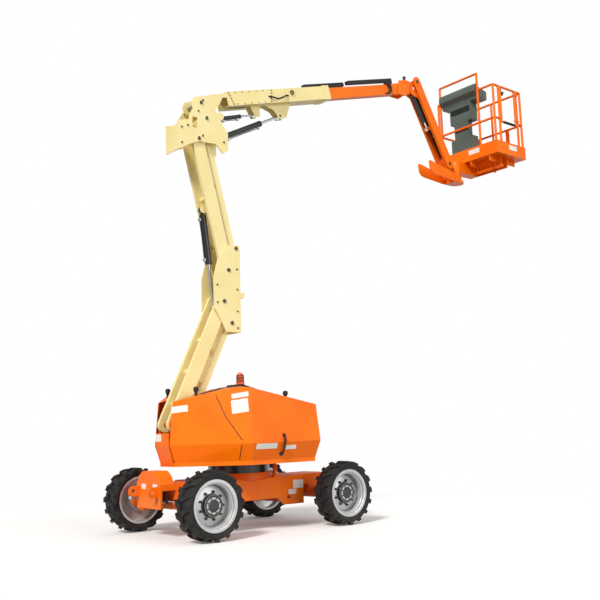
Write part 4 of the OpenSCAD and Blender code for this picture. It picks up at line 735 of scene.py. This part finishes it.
COVER_FACE = 0.128  # from the middle plane to the side covers' outer faces
COVER_ENDS = [((0.492, 0.105), (0.536, -0.045)), ((1.230, 0.105), (1.178, -0.045))]
bm = bmesh.new()
for top, foot_end in COVER_ENDS:
    for k in range(5):
        along = top[0] + (foot_end[0] - top[0]) * k / 4
        rise = top[1] + (foot_end[1] - top[1]) * k / 4
        for side in (-1, 1):
            nut(bm, on_boom(along, side * COVER_FACE, rise), (0, side, 0), 0.016, 0.006)
for along in (0.60, 0.72, 0.84, 0.96, 1.08):
    for rise in (0.108, -0.048):
        for side in (-1, 1):
            nut(bm, on_boom(along, side * COVER_FACE, rise), (0, side, 0), 0.014, 0.005)
piece("cover_bolts", bm, "boom_base", "cream_paint", dark_bolt, edge=0.0006)
bm = bmesh.new()
hose(bm, [on_boom(a, -0.120 - out, r) for a, out, r in (
    (1.150, -0.004, 0.030), (1.205, 0.030, 0.010), (1.290, 0.036, -0.020), (1.390, 0.030, -0.005),
    (1.470, 0.020, 0.020), (1.530, -0.006, 0.022))], 0.011)
coil = [polar(0.026, k * math.pi / 6) for k in range(13)]
hose(bm, [on_boom(1.600 + p.x, -0.131, 0.060 + p.y) for p in coil], 0.007)
piece("boom_hose", bm, "boom_base", "black_plastic")
bm = bmesh.new()
for y in (-0.060, -0.030, 0.0, 0.030, 0.060):
    hose(bm, [on_boom(along, y, up) for along, up in (
        (-0.045, -0.010), (0.06, 0.036), (0.22, 0.060), (0.34, 0.070), (0.455, 0.072))], 0.0085)
piece("root_hoses", bm, "boom_base", "black_plastic")
bm = bmesh.new()
for along, up in ((-0.045, -0.010), (0.30, 0.068)):
    clamp_bar(bm, on_boom(along, 0, up), 0.101, BOOM_WAY)
piece("hose_clamps_root", bm, "boom_base", "black_plastic", zinc, edge=0.002)

# Fly: hose loops from the tray's end down the near side

FLY_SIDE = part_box("boom_fly")[0].y
bm = bmesh.new()
for k in range(3):
    back = 0.018 * k
    hose(bm, [on_boom(along - back, FLY_SIDE - out, up) for along, out, up in (
        (3.665, -0.030, 0.125), (3.678, 0.012, 0.126), (3.718, 0.026, 0.080), (3.714, 0.024, 0.010),
        (3.672, 0.016, -0.028), (3.622, 0.004, -0.030))], 0.010)
piece("nose_hoses", bm, "boom_fly", "black_plastic")

# Jib: hoses and their clamps under the arm's cover, and the peg over the nose

jib_top, jib_foot = at_joint("jib_lift"), at_joint("jib_head_level")
jib_way = (jib_foot - jib_top).normalized()
jib_over = Vector((-jib_way.z, 0, jib_way.x))


def on_jib(along, y, over):
    """A place in the jib's own frame: along it from its upper pin, across, and over it."""
    return jib_top + jib_way * along + jib_over * over + Vector((0, y, 0))


bm = bmesh.new()
for y in (-0.066, -0.046, -0.026, 0.026, 0.046, 0.066):
    hose(bm, [on_jib(along, y, over) for along, over in (
        (0.125, 0.046), (0.40, 0.050), (0.80, 0.046), (1.295, 0.050))], 0.009)
piece("jib_hoses", bm, "jib_arm", "black_plastic")
bm = bmesh.new()
for along in (0.135, 0.52, 0.92, 1.285):
    clamp_bar(bm, on_jib(along, 0, 0.052), 0.0885, jib_way)
piece("jib_hose_clamps", bm, "jib_arm", "black_plastic", zinc, edge=0.002)
bm = bmesh.new()
spot, _ = hit("nose_knuckle", (at_joint("nose_level").x + 0.135, 0.0, 8.0), DOWN)
lathe(bm, [(0, -0.004), (0.034, -0.004), (0.034, 0.010), (0.021, 0.016), (0.021, 0.085), (0.025, 0.090),
           (0.025, 0.105), (0.018, 0.112), (0, 0.112)], Matrix.Translation(spot), 28)
piece("nose_peg", bm, "nose_knuckle", "black_plastic")

# Platform: tread on the deck, plates, gate furniture, console

TOE_BOARD = 0.170
TREAD_PITCH = 0.055
deck_low, deck_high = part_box("platform_deck")
deck_top = deck_high.z - TOE_BOARD
bm = bmesh.new()
for i in range(13):
    for k in range(21):
        centre = Vector((deck_low.x + 0.05 + i * TREAD_PITCH, deck_low.y + 0.06 + k * TREAD_PITCH, deck_top))
        way = Vector((1, 1, 0)) if (i + k) % 2 else Vector((1, -1, 0))
        way = way.normalized() * 0.019
        wide = Vector((-way.y, way.x, 0)) * 0.34
        diamond = (way, wide, -way, -wide)
        foot_ring = [bm.verts.new(centre + p + Vector((0, 0, -0.0005))) for p in diamond]
        top_ring = [bm.verts.new(centre + p * 0.6 + Vector((0, 0, 0.002))) for p in diamond]
        closed_skin(bm, [foot_ring, top_ring])
piece("deck_tread", bm, "platform", "orange_paint")

bm = bmesh.new()
plate(bm, "platform_deck", (4.0, -0.292, deck_top + 0.095), (1, 0, 0), 0.22, 0.080, level=(0, 1, 0))
plate(bm, "platform_deck", (5.105, -1.5, deck_top + 0.095), (0, 1, 0), 0.20, 0.080)
piece("blank_plates_platform", bm, "platform", "orange_paint", blank_label)

gate_low, gate_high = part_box("gate")
gate_y = at_joint("gate_swing").y
bm = bmesh.new()
grip_z = gate_low.z + 0.019
rod(bm, (gate_low.x + 0.060, gate_y, grip_z), (gate_high.x - 0.110, gate_y, grip_z), 0.0206, 24)
piece("gate_grip_sleeve", bm, "gate", "black_plastic", grip_tape, edge=0.0008)
bm = bmesh.new()
latch = Vector((gate_low.x + 0.050, gate_y, gate_high.z - 0.140))
block(bm, latch + Vector((-0.022, -0.024, -0.030)), latch + Vector((0.022, 0.024, 0.030)))
rod(bm, latch + Vector((0, 0, 0.030)), latch + Vector((0, 0, 0.115)), 0.008, 14)
rod(bm, latch + Vector((0, -0.024, 0)), latch + Vector((0, -0.060, 0)), 0.009, 14)
piece("gate_latch", bm, "gate", "black_plastic", edge=0.002)

con_low, con_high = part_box("console")
con_y = (con_low.y + con_high.y) / 2


def on_lid(x, y):
    """A place on the console's sloping lid, and the way the lid looks there."""
    return hit("console", (x, con_y + y, con_high.z + 0.5), DOWN)


lid_x = con_low.x + 0.17
bm = bmesh.new()
for y in (-0.24, 0.24):
    spot, normal = on_lid(lid_x + 0.05, y)
    lathe(bm, [(0, -0.003), (0.040, -0.003), (0.040, 0.006), (0.030, 0.010), (0.026, 0.026), (0.016, 0.040),
               (0.009, 0.044), (0.009, 0.100), (0.018, 0.106), (0.022, 0.130), (0.018, 0.152), (0, 0.156)],
          facing(spot, normal), 28)
for i in range(7):
    spot, normal = on_lid(lid_x - 0.02, -0.15 + i * 0.05)
    lathe(bm, [(0, -0.002), (0.011, -0.002), (0.011, 0.005), (0.006, 0.007), (0.0045, 0.030), (0, 0.032)],
          facing(spot, normal + Vector((0.2 * (i % 2) - 0.1, 0, 0))), 16)
piece("control_levers", bm, "platform", "black_plastic")
bm = bmesh.new()
spot, normal = on_lid(lid_x + 0.06, 0.05)
lathe(bm, [(0, -0.002), (0.014, -0.002), (0.014, 0.014), (0.024, 0.016), (0.026, 0.026), (0.018, 0.034),
           (0, 0.035)],
      facing(spot, normal), 28)
piece("stop_button", bm, "platform", "lamp_amber", red_button)
bm = bmesh.new()
for y, width in ((-0.09, 0.12), (0.15, 0.10)):
    plate(bm, "console", (lid_x + 0.06, con_y + y, con_high.z + 0.5), DOWN, 0.07, width)
piece("blank_plates_console", bm, "platform", "console_grey", blank_label)
AHEAD = 4.0  # between the boom and the console, where the rays that look at its face start
bm = bmesh.new()
plate(bm, "console", (AHEAD, con_y, con_high.z - 0.34), (1, 0, 0), 0.40, 0.10, level=(0, 1, 0), thick=0.003)
piece("console_dark_band", bm, "platform", "black_plastic", edge=0.001)
bm = bmesh.new()
for z, width, height in ((0.75, 0.34, 0.16), (0.27, 0.36, 0.20)):
    plate(bm, "console", (AHEAD, con_y, deck_top + z), (1, 0, 0), width, height, level=(0, 1, 0), thick=0.003)
piece("console_covers", bm, "platform", "console_grey", edge=0.001)
bm = bmesh.new()
for y in (-0.15, 0.15):
    for z in (0.69, 0.81, 0.19, 0.35):
        spot, normal = hit("console", (AHEAD, con_y + y, deck_top + z), (1, 0, 0))
        nut(bm, spot + normal * 0.003, normal, 0.012, 0.005)
piece("console_screws", bm, "platform", "black_plastic", zinc, edge=0.0005)

# Stage

FLOOR_HALF = 60
floor_mesh = bpy.data.meshes.new("studio_floor")
floor_mesh.from_pydata([(x * FLOOR_HALF, y * FLOOR_HALF, 0) for x, y in ((-1, -1), (1, -1), (1, 1), (-1, 1))],
                       [], [(0, 1, 2, 3)])
floor = bpy.data.objects.new("studio_floor", floor_mesh)
scene.collection.objects.link(floor)


def floor_finish():
    """Pale floor that keeps the shadow near the machine and fades into the white behind it."""
    material = bpy.data.materials.new("pale_floor")
    material.use_nodes = True
    tree = material.node_tree
    shader = tree.nodes["Principled BSDF"]
    shader.inputs["Roughness"].default_value = 0.85
    shader.inputs["Specular IOR Level"].default_value = 0.1
    spot = object_place(tree)
    reach = add(tree, "ShaderNodeVectorMath", {0: spot}, operation="LENGTH").outputs["Value"]
    far = math_node(tree, "MAXIMUM", ramp(tree, reach, 2.6, 6.0), 0.10)
    rays = add(tree, "ShaderNodeLightPath")
    pale = mix_colour(tree, rays.outputs["Is Diffuse Ray"], (0.97, 0.97, 0.97, 1.0), (0.30, 0.30, 0.30, 1.0))
    tree.links.new(pale, shader.inputs["Base Color"])
    seen = math_node(tree, "ADD", rays.outputs["Is Camera Ray"], rays.outputs["Is Glossy Ray"], True)
    white = add(tree, "ShaderNodeEmission", {"Color": (1, 1, 1, 1), "Strength": 1.0})
    blend = add(tree, "ShaderNodeMixShader", {0: math_node(tree, "MULTIPLY", far, seen),
                                              1: shader.outputs[0], 2: white.outputs[0]})
    tree.links.new(blend.outputs[0], tree.nodes["Material Output"].inputs["Surface"])
    return material


floor_mesh.materials.append(floor_finish())

world = bpy.data.worlds.new("white_studio")
scene.world = world
world.use_nodes = True
sky = world.node_tree
soft = sky.nodes["Background"]
soft.inputs["Color"].default_value = (1.0, 0.99, 0.98, 1.0)
soft.inputs["Strength"].default_value = 0.48
bright = add(sky, "ShaderNodeBackground", {"Color": (1, 1, 1, 1), "Strength": 1.0})
rays = add(sky, "ShaderNodeLightPath")
both = add(sky, "ShaderNodeMixShader", {0: rays.outputs["Is Camera Ray"], 1: soft.outputs[0],
                                        2: bright.outputs[0]})
sky.links.new(both.outputs[0], sky.nodes["World Output"].inputs["Surface"])


def lamp(name, towards, strength, spread, colour=(1, 1, 1)):
    """A distant lamp that shines along a direction."""
    data = bpy.data.lights.new(name, "SUN")
    data.energy = strength
    data.angle = math.radians(spread)
    data.color = colour
    obj = bpy.data.objects.new(name, data)
    obj.rotation_euler = Vector(towards).to_track_quat("-Z", "Y").to_euler()
    scene.collection.objects.link(obj)


lamp("key_light", (0.86, 0.42, -0.80), 2.75, 12, (1.0, 0.975, 0.94))
lamp("fill_light", (-0.25, 0.9, -0.30), 1.0, 40)

# Camera

CAMERA_AT = (-6.24, -8.81, 1.186)
YAW, PITCH, ROLL = -0.6935, 0.150, -0.0335
FOCAL_PIXELS = 850.0
FRAME_PIXELS = 600.0
SENSOR_MM = 36.0

ahead = Vector((-math.sin(YAW) * math.cos(PITCH), math.cos(YAW) * math.cos(PITCH), math.sin(PITCH)))
right = Vector((math.cos(YAW), math.sin(YAW), 0.0))
up = right.cross(ahead)
right, up = (right * math.cos(ROLL) + up * math.sin(ROLL), up * math.cos(ROLL) - right * math.sin(ROLL))
camera_data = bpy.data.cameras.new("photo_camera")
camera_data.sensor_width = SENSOR_MM
camera_data.lens = SENSOR_MM * FOCAL_PIXELS / FRAME_PIXELS
camera = bpy.data.objects.new("photo_camera", camera_data)
turn = Matrix((right, up, -ahead)).transposed().to_4x4()
camera.matrix_world = Matrix.Translation(CAMERA_AT) @ turn
scene.collection.objects.link(camera)
scene.camera = camera
